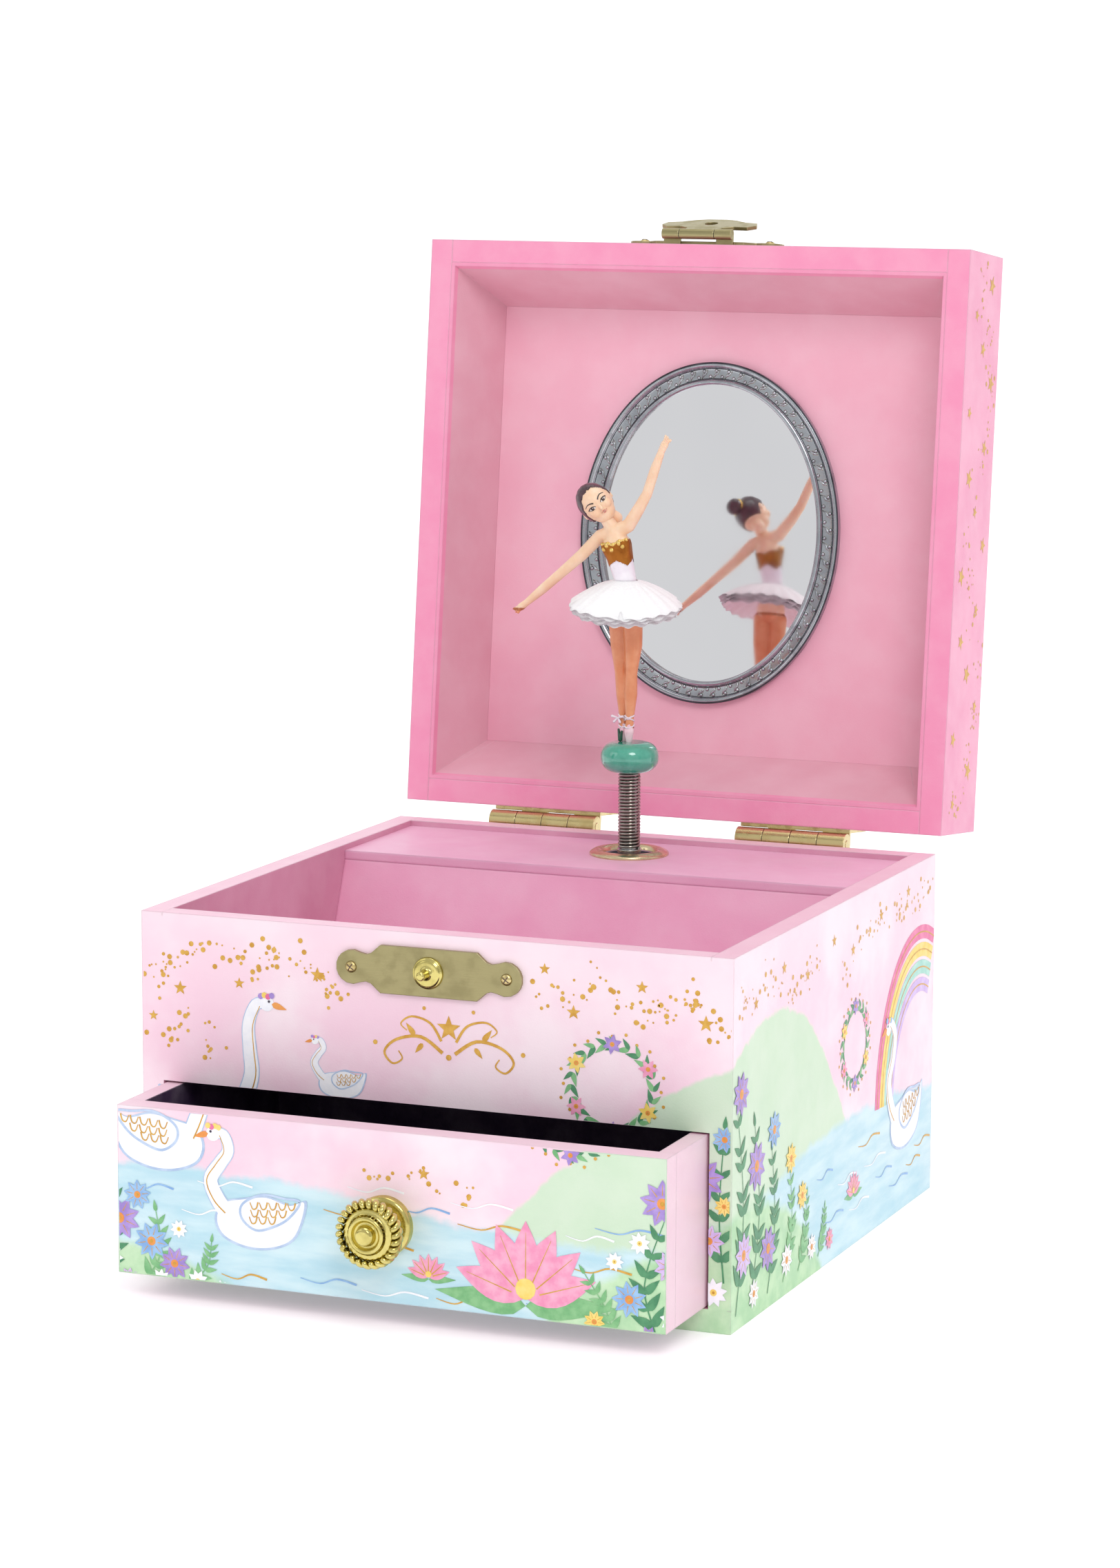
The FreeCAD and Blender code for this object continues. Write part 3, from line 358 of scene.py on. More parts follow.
def lining_paper(name, hex_colour, patch):
    """Plain coloured paper over card."""
    surface = Surface(name, 0.5, coat=0.08)
    base = surface.patches(38, 2, 0.35, 0.7, hex_colour, patch)
    paper_finish(surface, base, 0.8, wear_strength=0.06)
    return surface.material


def hill_height(surface, s):
    """Height of the far hill at a distance s round the case from the middle of the front."""
    away = surface.minus(s, 88)
    left = surface.times(surface.power(surface.over(away, 68), 2), 40)
    right = surface.times(surface.power(surface.over(away, 45), 2), 36)
    drop = surface.plus(surface.times(left, surface.below(away, 0)),
                        surface.times(right, surface.above(away, 0)))
    return surface.minus(58, drop)


def mound_height(surface, s, middle, reach, top):
    """Height of a meadow mound in a lower corner."""
    away = surface.over(surface.minus(s, middle), reach)
    return surface.minus(top, surface.times(surface.power(away, 2), top))


def printed_scene(surface):
    """Colour of the lake scene that is printed round the outside of the case."""
    x, y, z = surface.parts(surface.place)
    normal = surface.add("ShaderNodeNewGeometry")
    across, deep, _ = surface.parts(normal.outputs["Normal"])
    on_side = surface.above(surface.absolute(across), 0.5)
    on_back = surface.above(deep, 0.5)
    sign = surface.sign(x)
    side = surface.times(sign, surface.plus(y, 2 * HALF))
    back = surface.times(sign, surface.minus(4 * HALF, surface.absolute(x)))
    s = surface.plus(surface.times(on_side, surface.minus(side, x)), x)
    s = surface.plus(surface.times(on_back, surface.minus(back, s)), s)
    brush = surface.times(surface.minus(surface.noise(11, 4), 0.5), 5)
    fine = surface.times(surface.minus(surface.noise(2.2, 4), 0.5), 1.6)
    height = surface.plus(z, surface.plus(brush, fine))

    cloud = surface.noise(26, 4)
    sky = surface.mix(surface.ease(cloud, 0.36, 0.66), rgb("f7cfe0"), rgb("fbe6ee"))
    sky = surface.mix(surface.ease(z, 52, RIM, 0, 0.5), sky, rgb("f7dfe8"))
    hill = surface.mix(surface.noise(14, 5), rgb("c3dcbf"), rgb("d5e7cd"))
    streaks = surface.noise(7, 4, surface.stretch(surface.place, (0.35, 0.35, 1.8)))
    water = surface.mix(surface.ease(streaks, 0.3, 0.7), rgb("b0d8e6"), rgb("d0e9f0"))
    grass = surface.patches(5, 5, 0.3, 0.7, "a6d3a2", "c6e5bb")

    shore = surface.minus(24, surface.times(surface.sine(surface.times(s, 0.035)), 3.5))
    far_hill = surface.ease(surface.minus(hill_height(surface, s), height), -0.7, 0.7)
    lake = surface.ease(surface.minus(shore, height), -1.2, 1.2)
    right = surface.ease(surface.minus(mound_height(surface, s, 72, 44, 23), height), -1.5, 1.5)
    left = surface.ease(surface.minus(mound_height(surface, s, -66, 44, 12), height), -1.5, 1.5)
    scene = surface.mix(far_hill, sky, hill)
    scene = surface.mix(lake, scene, water)
    scene = surface.mix(right, scene, grass)
    return surface.mix(left, scene, grass)


def case_paper():
    """Case boards: the printed scene outside, pale rims and pink lining inside."""
    surface = Surface("case_paper", 0.42, coat=0.12)
    x, y, z = surface.parts(surface.place)
    far = surface.larger(surface.absolute(x), surface.absolute(y))
    outside = surface.above(far, HALF - 0.05)
    rim = surface.above(z, RIM - 0.05)
    inside = surface.patches(30, 2, 0.3, 0.7, "d08ea8", "dc9fb8")
    colour = surface.mix(outside, inside, printed_scene(surface))
    colour = surface.mix(rim, colour, rgb("f1c3d5"))
    paper_finish(surface, colour, where=outer_edges(surface, x, y, z, 0, RIM))
    return surface.material


def drawer_paper():
    """Drawer boards: the printed scene in front, pale pink sides and a dark plum lining inside whose darkness is
    painted shade.
    """
    surface = Surface("drawer_paper", 0.42, coat=0.1)
    x, y, z = surface.parts(surface.place)
    side_low = span("drawer_right_side")[0]
    back_low = span("drawer_back")[0]
    face = surface.below(y, DRAWER_LOW.y + 0.05)
    within = surface.below(surface.absolute(x), side_low.x + 0.05)
    within = surface.times(within, surface.above(y, DRAWER_HIGH.y - 0.05))
    within = surface.times(within, surface.below(y, back_low.y + 0.05))
    plain = surface.mix(surface.noise(20, 3), rgb("f0cfdc"), rgb("eac6d5"))
    colour = surface.mix(face, plain, printed_scene(surface))
    # Inner faces of the drawer: dark plum, painted shade inside the drawer.
    colour = surface.mix(within, colour, rgb("3a2547"))
    paper_finish(surface, colour)
    return surface.material


def lid_paper():
    """Lid boards: speckled pink outside and a bright pink rim and inside."""
    surface = Surface("lid_paper", 0.42, coat=0.12)
    x, y, z = surface.closed_place()
    far = surface.larger(surface.absolute(x), surface.absolute(y))
    outside = surface.larger(surface.above(far, HALF - 0.05),
                           surface.above(z, RIM + LID_HEIGHT - 0.05))
    sky = surface.patches(24, 4, 0.36, 0.66, "ea94b6", "f0a3c0")
    colour = surface.mix(outside, rgb("f294b8"), sky)
    paper_finish(surface, colour, where=outer_edges(surface, x, y, z, RIM, RIM + LID_HEIGHT))
    return surface.material


def liner_paper():
    """Sloping card inside the lid, with its narrow edge the colour of the rim."""
    surface = Surface("liner_paper", 0.5, coat=0.08)
    height = surface.closed_place()[2]
    slope = surface.patches(38, 2, 0.35, 0.7, "dfa3b3", "e6afbe")
    colour = surface.mix(surface.below(height, RIM + 1.2), slope, rgb("ee93b5"))
    paper_finish(surface, colour, 0.3, wear_strength=0.04)
    return surface.material


def flock(name, dark, light):
    """Short velvet pile."""
    surface = Surface(name, 0.95, sheen=0.6)
    surface.set(Sheen_Roughness=0.5)
    surface.colour(surface.mix(surface.noise(0.5, 5), rgb(dark), rgb(light)))
    surface.bump(surface.noise(0.22, 4), 0.12)
    return surface.material


def metal(name, hex_colour, tarnish, smooth, rough, scratch=0.02, edge=0.25, patchy=0.55):
    """Plated metal with tarnish in patches, fine scratches and brighter edges."""
    surface = Surface(name, smooth, metallic=1.0)
    patches = surface.ease(surface.noise(4, 5), 0.42, 0.7)
    colour = surface.mix(surface.times(patches, patchy), rgb(hex_colour), rgb(tarnish))
    wear = surface.edge_wear(0.2)
    surface.colour(surface.mix(surface.times(wear, 0.35), colour, rgb("f6ecc4")))
    lines = surface.noise(0.5, 5, surface.stretch(surface.place, (0.2, 1, 3)))
    both = surface.plus(surface.times(lines, 0.5), surface.times(patches, 0.5))
    surface.roughen(surface.ease(both, 0.2, 0.8, smooth, rough))
    surface.bump(lines, scratch, edge)
    return surface.material


def plastic(name, hex_colour, shade, roughness, coat, grain=0.01, depth=0.0):
    """Moulded, painted plastic with faint unevenness."""
    surface = Surface(name, roughness, coat=coat)
    surface.colour(surface.patches(3, 4, 0.3, 0.75, hex_colour, shade))
    surface.roughen_patches(1.2, 4, 0.2, 0.8, roughness * 0.85, roughness * 1.2)
    surface.set(Subsurface_Weight=depth, Subsurface_Radius=(1.0, 0.5, 0.3), Subsurface_Scale=0.6 * MM)
    surface.bump(surface.noise(0.6, 4), grain)
    return surface.material


def mirror_glass():
    """Silvered glass with the faintest waviness."""
    surface = Surface("mirror_silvering", 0.03, metallic=1.0)
    surface.colour(surface.mix(surface.noise(30, 2), rgb("f6f6f7"), rgb("efeff1")))
    surface.roughen_patches(12, 3, 0.3, 0.8, 0.02, 0.07)
    surface.bump(surface.noise(40, 1), 0.01)
    return surface.material


def net():
    """White net: a fine open weave that lets some light through."""
    surface = Surface("white_net", 0.8, sheen=0.3)
    weave = surface.noise(0.45, 3)
    surface.colour(surface.mix(surface.ease(weave, 0.3, 0.7), rgb("ffffff"), rgb("f8f6f9")))
    surface.set(Subsurface_Weight=0.6, Subsurface_Radius=(1.0, 1.0, 1.0), Subsurface_Scale=1.5 * MM)
    surface.bump(weave, 0.06)
    return surface.material


def ink(name, hex_colour, shade):
    """Printed ink on the paper, with a watercolour's uneven wash."""
    surface = Surface("ink_" + name, 0.45, coat=0.1)
    surface.colour(surface.patches(2.4, 5, 0.3, 0.7, hex_colour, shade))
    surface.bump(surface.noise(0.35, 5), 0.02)
    return surface.material


def foil():
    """Stamped gold foil, a little crinkled."""
    surface = Surface("gold_foil", 0.35, metallic=0.45)
    surface.colour(surface.patches(1.5, 4, 0.3, 0.7, "dcae52", "c9943a"))
    surface.roughen_patches(0.8, 4, 0.2, 0.8, 0.28, 0.45)
    surface.bump(surface.noise(0.8, 4), 0.02)
    return surface.material


# ---------------------------------------------------------------- flat shapes for the printed art

def smooth_path(points, closed=False, steps=6):
    """A Catmull-Rom curve through points."""
    count = len(points)
    result = []
    for index in range(count if closed else count - 1):
        picks = [points[(index + offset) % count] if closed else points[min(max(index + offset, 0), count - 1)]
                 for offset in (-1, 0, 1, 2)]
        a, b, c, d = [Vector(pick) for pick in picks]
        for step in range(steps):
            t = step / steps
            result.append(0.5 * (2 * b + (c - a) * t + (2 * a - 5 * b + 4 * c - d) * t ** 2
                                 + (3 * b - a - 3 * c + d) * t ** 3))
    if not closed:
        result.append(Vector(points[-1]))
    return result


PRINT_LOW = 0.03  # the lowest print above the paper, in millimetres
LEVEL_STEP = 0.022
SHAPE_STEP = 0.0015
SHAPE_STEPS = 13


class Artwork:
    """Printed shapes gathered by face and ink, in face coordinates in millimetres."""

    def __init__(self):
        self.shapes = []
        self.face = None
        self.level = 0
        self.count = 0

    def height(self):
        """How far out the next shape lies, in millimetres, so that shapes that overlap never share a plane."""
        self.count += 1
        return PRINT_LOW + LEVEL_STEP * self.level + SHAPE_STEP * (self.count % SHAPE_STEPS)

    def polygon(self, colour, points):
        corners = [Vector((point[0], point[1], 0)) for point in points]
        out = self.height()
        for triangle in tessellate_polygon([corners]):
            self.shapes.append((self.face, colour, out, [tuple(corners[index][:2]) for index in triangle]))

    def disc(self, colour, centre, radius, sides=12):
        self.polygon(colour, [around(centre, radius, turn) for turn in turns(sides)])

    def petal(self, colour, base, length, width, turn, blunt=0.6):
        """A petal or leaf that starts at its base and points along turn, in degrees."""
        angle = math.radians(turn)
        along = Vector((math.cos(angle), math.sin(angle)))
        across = Vector((-along.y, along.x))
        outline = []
        for step in range(9):
            t = step / 8
            swell = math.sin(math.pi * t ** blunt) * width / 2
            outline.append((t * length, swell))
        outline += [(reach, -swell) for reach, swell in reversed(outline[1:-1])]
        self.polygon(colour, [Vector(base) + along * reach + across * swell for reach, swell in outline])

    def stroke(self, colour, points, start, end=None, closed=False):
        """A brush line along a smooth curve, from one width to another."""
        end = start if end is None else end
        path = smooth_path(points, closed, 5)
        if closed:
            path.append(path[0])
        sides = []
        for index, point in enumerate(path):
            along = (path[min(index + 1, len(path) - 1)] - path[max(index - 1, 0)]).normalized()
            half = (start + (end - start) * index / (len(path) - 1)) / 2
            across = Vector((-along.y, along.x)) * half
            sides.append((point + across, point - across))
        out = self.height()
        for (left, right), (next_left, next_right) in zip(sides, sides[1:]):
            self.shapes.append((self.face, colour, out, [tuple(left), tuple(right), tuple(next_right)]))
            self.shapes.append((self.face, colour, out, [tuple(left), tuple(next_right), tuple(next_left)]))

    def star(self, colour, centre, radius):
        """A star with five points, one of them up."""
        self.polygon(colour, [around(centre, radius * (1, 0.42)[step % 2], math.radians(90 + 36 * step))
                              for step in range(10)])

    def daisy(self, petals, heart, centre, radius, count=9, turn=0.0, edge=None):
        """A flower seen from the front, with a gold line along each petal."""
        for step in range(count):
            angle = turn + 360 * step / count
            self.petal(petals, centre, radius, radius * 0.52, angle, 0.75)
        self.level += 1
        if edge:
            for step in range(count):
                angle = math.radians(turn + 360 * step / count)
                way = Vector((math.cos(angle), math.sin(angle)))
                middle = Vector(centre)
                self.stroke(edge, [middle + way * radius * 0.35, middle + way * radius * 0.8], radius * 0.05, 0.05)
        self.disc(heart, centre, radius * 0.24)
        self.level += 1
        self.disc("gold", centre, radius * 0.1, 8)
        self.level -= 2

    def sprig(self, colour, points, leaf, pairs=5, stem=0.35):
        """A stem with pairs of leaves and one at the tip."""
        path = smooth_path(points, False, 8)
        self.stroke(colour, points, stem, stem * 0.5)
        for pair in range(pairs):
            place = 0.22 + 0.7 * pair / pairs
            index = min(int(place * len(path)), len(path) - 2)
            along = path[index + 1] - path[index]
            heading = math.degrees(math.atan2(along.y, along.x))
            size = leaf * (1.1 - 0.55 * place)
            for turn in (-48, 48):
                self.petal(colour, path[index], size, size * 0.38, heading + turn)
        along = path[-1] - path[-2]
        self.petal(colour, path[-1], leaf * 0.6, leaf * 0.22, math.degrees(math.atan2(along.y, along.x)))

    def dust(self, points, count, spread, seed):
        """Gold dots scattered along a curve."""
        rng = random.Random(seed)
        path = smooth_path(points, False, 40)
        for _ in range(count):
            point = rng.choice(path)
            away = Vector((rng.gauss(0, spread), rng.gauss(0, spread)))
            self.disc("gold", point + away, rng.choice((0.2, 0.28, 0.38, 0.55)), 8)

    def ripples(self, spots):
        """Short curved lines on the water."""
        for index, (across, up) in enumerate(spots):
            colour = ("blue", "white", "gold")[index % 3]
            reach = 7 * (0.7 + 0.3 * ((index * 7) % 5) / 4)
            self.stroke(colour, [(across - reach, up), (across - reach * 0.3, up - 0.7),
                                 (across + reach * 0.3, up + 0.5), (across + reach, up - 0.2)], 0.15, 0.45)

    def swan(self, place, scale, facing, neck, tail=1.0, flower="purple"):
        """A swimming swan with gold-lined feathers and a small crown of flowers."""
        def at(points):
            return [(place[0] + facing * scale * across, place[1] + scale * up) for across, up in points]

        body = [(-10.5, 5.5 * tail), (-7, 5.2), (-2, 6.4), (3, 5.6), (7.5, 4.4), (9.2, 1), (7.5, -2.4), (2, -4.2),
                (-4, -3.6), (-8.4, -0.8)]
        self.polygon("swan_shade", smooth_path(at([(x * 1.06, y * 1.08 - 0.15) for x, y in body]), True, 5))
        self.level += 1
        self.polygon("white", smooth_path(at(body), True, 5))
        self.level -= 1
        self.stroke("swan_shade", at([(6.0, 1.2)] + neck), 4.1 * scale, 2.25 * scale)
        self.level += 1
        self.stroke("white", at([(6.2, 1.5)] + neck), 3.6 * scale, 1.9 * scale)
        head = at(neck)[-1]
        self.disc("white", head, 1.55 * scale, 14)
        self.level += 1
        self.petal("orange", (head[0] + facing * 1.1 * scale, head[1]), 3.4 * scale, 1.3 * scale,
                   -16 if facing > 0 else 196)
        wing = [(-9.5, 6.2), (-6, 6.6), (-1, 6.9), (3.4, 4.6), (3.6, 1.6), (0.5, -0.6), (-3.4, 0.4), (-7, 2.6)]
        self.stroke("swan_shade", at(wing), 0.5 * scale, 0.5 * scale, closed=True)
        self.level += 1
        for row, (count, left, up) in enumerate(((5, -7.6, 4.9), (4, -5.6, 3.2), (3, -3.2, 1.6))):
            for feather in range(count):
                foot = (left + 2.1 * feather, up - 0.15 * feather)
                self.stroke("gold", at([(foot[0] - 0.9, foot[1] + 1.0), (foot[0] - 0.5, foot[1] - 0.3),
                                        (foot[0] + 0.3, foot[1] - 0.5), (foot[0] + 0.9, foot[1] + 0.8)]),
                            0.34 * scale, 0.2 * scale)
        self.level -= 1
        crease = [(7.3, 2.3)] + [(x + 0.9, y - 0.2) for x, y in neck[:-1]]
        self.stroke("gold", at(crease), 0.3 * scale, 0.15 * scale)
        self.level += 1
        self.disc("dark", (head[0] + facing * 0.5 * scale, head[1] + 0.45 * scale), 0.28 * scale, 8)
        for step in range(4):
            spot = (head[0] - facing * (1.3 - 0.8 * step) * scale, head[1] + (1.4 + 0.25 * (step % 2)) * scale)
            self.disc((flower, "yellow", "deep_pink", flower)[step], spot, 0.62 * scale, 8)
        self.level -= 3

    def lily(self, centre, size):
        """A pink water lily on its leaves."""
        for side in (-1, 1):
            self.petal("green", (centre[0], centre[1] - 0.1 * size), size * 1.25, size * 0.34, 90 - 86 * side)
        self.level += 1
        for turn in (18, 162, 42, 138, 66, 114, 90):
            self.petal("pink" if turn % 4 else "pale_pink", centre, size, size * 0.42, turn, 0.8)
            self.level += 1
            angle = math.radians(turn)
            way = Vector((math.cos(angle), math.sin(angle))) * size
            self.stroke("gold", [Vector(centre) + way * 0.2, Vector(centre) + way * 0.85], 0.28, 0.08)
            self.level -= 1
        self.level += 2
        self.disc("yellow", (centre[0], centre[1] + size * 0.12), size * 0.14)
        self.level -= 3

    def flourish(self, centre, size):
        """A symmetrical gold scroll with a star in the middle."""
        for side in (-1, 1):
            def at(points):
                return [(centre[0] + side * size * x, centre[1] + size * y) for x, y in points]
            self.stroke("gold", at([(0.1, -0.1), (0.45, 0.12), (0.85, 0.05), (1.05, -0.15), (0.92, -0.32),
                                    (0.76, -0.24), (0.82, -0.12)]), 0.75, 0.25)
            self.stroke("gold", at([(0.12, 0.08), (0.3, 0.34), (0.6, 0.42), (0.78, 0.3), (0.68, 0.2)]), 0.6, 0.2)
            self.petal("gold", at([(0.55, 0.13)])[0], size * 0.24, size * 0.09, 90 - side * 38)
            self.petal("gold", at([(0.42, 0.02)])[0], size * 0.2, size * 0.08, 90 - side * 140)
            self.disc("gold", at([(1.2, -0.02)])[0], 0.5, 8)
            self.disc("gold", at([(0.4, 0.56)])[0], 0.4, 8)
        self.star("gold", (centre[0], centre[1] + size * 0.28), size * 0.2)
        self.disc("gold", (centre[0], centre[1] - size * 0.16), 0.6)

    def garland(self, centre, radius):
        """A ring of leaves, dots and small flowers."""
        for step, angle in enumerate(turns(22)):
            spot = around(centre, radius, angle)
            heading = math.degrees(angle) + 90
            self.petal(("green", "dark_green")[step % 2], spot, radius * 0.36, radius * 0.13, heading + 32)
            self.petal(("dark_green", "green")[step % 2], spot, radius * 0.3, radius * 0.11, heading - 32)
        self.level += 2
        for step, angle in enumerate(turns(6, 0.5)):
            self.daisy(("pink", "purple", "yellow")[step % 3], "orange", around(centre, radius, angle),
                       radius * 0.24, 6, 20 * step)
        self.level -= 2
        for step, angle in enumerate(turns(24)):
            self.disc("gold", around(centre, radius * (1.18, 1.28)[step % 2], angle), 0.35, 8)


def clip(triangle, axis, limit, keep_above):
    """The part of a convex polygon on one side of a line across an axis."""
    kept = []
    for index, point in enumerate(triangle):
        before = triangle[index - 1]
        here = (point[axis] - limit) * (1 if keep_above else -1)
        there = (before[axis] - limit) * (1 if keep_above else -1)
        if (here >= 0) != (there >= 0):
            share = there / (there - here)
            kept.append(tuple(b + (p - b) * share for b, p in zip(before, point)))
        if here >= 0:
            kept.append(point)
    return kept


def within(shape, low_u, high_u, low_v, high_v):
    """The part of a convex polygon inside a rectangle."""
    for axis, limit, keep_above in ((0, low_u, True), (0, high_u, False), (1, low_v, True), (1, high_v, False)):
        shape = clip(shape, axis, limit, keep_above)
        if len(shape) < 3:
            return []
    return shape


MARGIN = 0.4  # plain paper left round each printed face
GAP_TOP = FRONT_LOW.z + 0.1
EDGE = HALF - MARGIN
LID_TOP = RIM + LID_HEIGHT
TOP = RIM - 0.3
DRAWER_EDGE = DRAWER_HIGH.x - 0.3


def on_plane(axis, side, depth):
    """A mapping from face coordinates to a point this far out along an axis."""
    def place(u, v, out):
        if axis == "X":
            return side * (depth + out), u, v
        if axis == "Y":
            return u, side * (depth + out), v
        return u, v, depth + out
    return place


FACE_PARTS = {
    "front": [
        ("base", on_plane("Y", -1, HALF), (-EDGE, EDGE, GAP_TOP, TOP)),
        ("base", on_plane("Y", -1, HALF), (-EDGE, -FRONT_HIGH.x, MARGIN, GAP_TOP)),
        ("base", on_plane("Y", -1, HALF), (FRONT_HIGH.x, EDGE, MARGIN, GAP_TOP)),
        ("drawer", on_plane("Y", -1, -DRAWER_LOW.y),
         (-DRAWER_EDGE, DRAWER_EDGE, DRAWER_LOW.z + 0.3, DRAWER_HIGH.z - 0.3)),
    ],
    "lid_top": [("lid", on_plane("Z", 1, LID_TOP), (-EDGE, EDGE, -EDGE, EDGE))],
}
for name, axis, side in (("right", "X", 1), ("left", "X", -1), ("back", "Y", 1)):
    FACE_PARTS[name] = [("base", on_plane(axis, side, HALF), (-EDGE, EDGE, MARGIN, TOP))]
for name, axis, side in (("front", "Y", -1), ("right", "X", 1), ("left", "X", -1)):
    FACE_PARTS["lid_" + name] = [
        ("lid", on_plane(axis, side, HALF), (-EDGE, EDGE, RIM + MARGIN, LID_TOP - MARGIN))]


def print_art(art, inks):
    """Turns the shapes into one thin piece for each ink on each body."""
    sheets = {}
    for face, colour, out, triangle in art.shapes:
        for body, place, limits in FACE_PARTS[face]:
            shape = within(triangle, *limits)
            if not shape:
                continue
            points, faces = sheets.setdefault((body, colour), ([], []))
            spots = [Vector(place(u, v, out)) for u, v in shape]
            if body == "lid":
                spots = [TO_OPEN @ spot for spot in spots]
            faces.append(tuple(range(len(points), len(points) + len(spots))))
            points.extend(spots)
    for (body, colour), (points, faces) in sheets.items():
        piece = make_piece(f"print_{body}_{colour}", points, faces, inks[colour], body, smooth=False)


def draw_front(art):
    """The front of the case, which runs over the drawer."""
    art.face = "front"
    art.dust([(-60, 60), (-50, 66), (-38, 64), (-30, 66), (-20, 60)], 95, 1.6, 3)
    art.dust([(-58, 47), (-52, 52), (-46, 49), (-50, 44)], 26, 1.2, 4)
    art.dust([(24, 62), (34, 66), (46, 61), (54, 64), (61, 57)], 90, 1.7, 5)
    art.dust([(-6, 29), (6, 31), (18, 28)], 26, 1.3, 6)
    for spot, reach in (((-54, 58), 1.5), ((-41, 60), 1.2), ((-24, 63), 1.6), ((-60, 52), 1.1), ((30, 60), 1.5),
                        ((44, 66), 1.3), ((57, 60), 1.7), ((8, 31), 1.3), ((-8, 66), 1.1), ((24, 68), 1.2)):
        art.star("gold", spot, reach)
    art.level = 1
    art.flourish((4, 51), 13)
    art.garland((38, 46), 8.5)
    art.swan((-48, 31), 1.0, 1, [(8, 6), (9.6, 11), (9.2, 16), (9.0, 21), (10.6, 25), (13, 25.4)], 1.2)
    art.swan((-27, 17), 0.95, -1, [(9.0, 5), (10.6, 9), (8.4, 12.6), (6.6, 15.4), (7.6, 18.6), (10, 18.6)], 1.1,
             "yellow")
    art.swan((-19, 41), 0.5, -1, [(9.5, 5), (11.5, 9), (9.6, 12.6), (7.6, 15.2), (8.8, 18), (11.2, 17.8)], 1.1)
    art.lily((29, 9), 15)
    art.lily((9, 11), 4.6)
    art.ripples([(-50, 23), (-34, 25), (-6, 22), (8, 24), (20, 26), (-30, 7), (-12, 8), (2, 7), (16, 7), (24, 12),
                 (42, 22), (0, 16), (50, 24), (-38, 19), (44, 16), (34, 8), (-2, 27), (22, 22)])
    art.level = 3
    for points, leaf in (([(-62, 3), (-58, 14), (-60, 27)], 5), ([(-52, 3), (-48, 10), (-49, 18)], 4),
                         ([(56, 3), (53, 14), (57, 27)], 5), ([(47, 3), (45, 9), (41, 15)], 3.6),
                         ([(61, 10), (60, 24), (61, 40)], 4.4), ([(-43, 3), (-38, 8), (-37, 13)], 3.2)):
        art.sprig("dark_green" if leaf > 4.2 else "green", points, leaf, 6)
    art.level = 5
    rng = random.Random(17)
    for across, up, petals, reach in (
            (-57, 16, "purple", 4.6), (-50, 12, "blue", 3.8), (-59, 8, "white", 2.8), (-53, 21, "blue", 3.0),
            (-45, 8, "purple", 3.4), (-61, 24, "lilac", 2.8), (-40, 5, "white", 2.3), (-48, 4.5, "white", 2.2),
            (-55, 4, "lilac", 2.2), (-35, 4, "white", 1.8), (-44, 15, "white", 1.9),
            (56.5, 30, "purple", 4.6), (50, 11, "blue", 3.6), (59, 8, "white", 2.9), (43, 6, "yellow", 2.2),
            (58, 18, "lilac", 3.2), (52, 22, "white", 2.2), (61, 38, "blue", 2.6), (47, 18, "white", 1.9),
            (54, 4, "purple", 2.4), (61, 25, "yellow", 2.0)):
        art.daisy(petals, "yellow" if petals == "white" else "orange", (across, up), reach, 9,
                  rng.uniform(0, 40), None if petals == "white" else "gold")


def draw_side(art, face, mirror=1):
    """A side of the case: sprigs at the front, a rainbow and a swan at the back."""
    art.face = face
    art.level = 0

    def at(*points):
        return [(mirror * across, up) for across, up in points]

    art.dust(at((-58, 62), (-44, 66), (-30, 60), (-14, 65)), 70, 1.7, 11)
    art.dust(at((2, 58), (16, 63), (30, 66), (48, 64), (60, 67)), 70, 1.6, 12)
    for across, up in at((-50, 62), (-34, 66), (-20, 62), (8, 62), (26, 66), (44, 68), (-4, 66)):
        art.star("gold", (across, up), 1.4)
    for index, colour in enumerate(("deep_pink", "yellow", "mint", "lilac")):
        reach = 27 - 3 * index
        bow = at(*[(52 + reach * math.cos(math.radians(turn)), 24 + reach * 1.25 * math.sin(math.radians(turn)))
                   for turn in range(178, 60, -10)])
        art.stroke(colour, bow, 3.0)
        art.level = 1
        art.stroke("gold", bow, 0.3)
        art.level = 0
    art.level = 1
    art.swan(at((44, 18))[0], 1.05, -mirror,
             [(9.5, 6), (11, 11), (8.6, 15.4), (7.4, 19.6), (9.6, 22.4), (11.6, 22)], 1.2, "blue")
    art.garland(at((10, 42))[0], 8)
    art.ripples(at((-8, 19), (6, 15), (20, 20), (30, 11), (14, 8), (50, 9), (-2, 9), (24, 15), (56, 12), (40, 7)))
    art.lily(at((10, 11))[0], 4.6)
    art.level = 3
    for points, leaf in ((((-60, 3), (-56, 22), (-60, 44)), 6), (((-52, 3), (-47, 20), (-50, 38)), 5.4),
                         (((-42, 3), (-38, 16), (-40, 31)), 4.8), (((-33, 3), (-28, 12), (-29, 24)), 4.2),
                         (((-24, 3), (-20, 9), (-19, 17)), 3.6), (((-12, 3), (-9, 7), (-8, 12)), 3)):
        art.sprig("dark_green" if leaf > 4.5 else "green", at(*points), leaf, 8)
    art.level = 5
    for across, up, petals, reach in ((-58, 46, "purple", 4.4), (-49, 30, "purple", 5), (-56, 14, "lilac", 4.6),
                                      (-39, 35, "blue", 3.8), (-42, 12, "purple", 4.6), (-29, 27, "yellow", 3.2),
                                      (-22, 18, "yellow", 3.0), (-31, 7, "white", 3.4), (-16, 6, "white", 2.8),
                                      (-50, 5, "white", 3.0), (-5, 5, "pink", 2.4)):
        art.daisy(petals, "orange", at((across, up))[0], reach, 9, 7 * across, "gold")


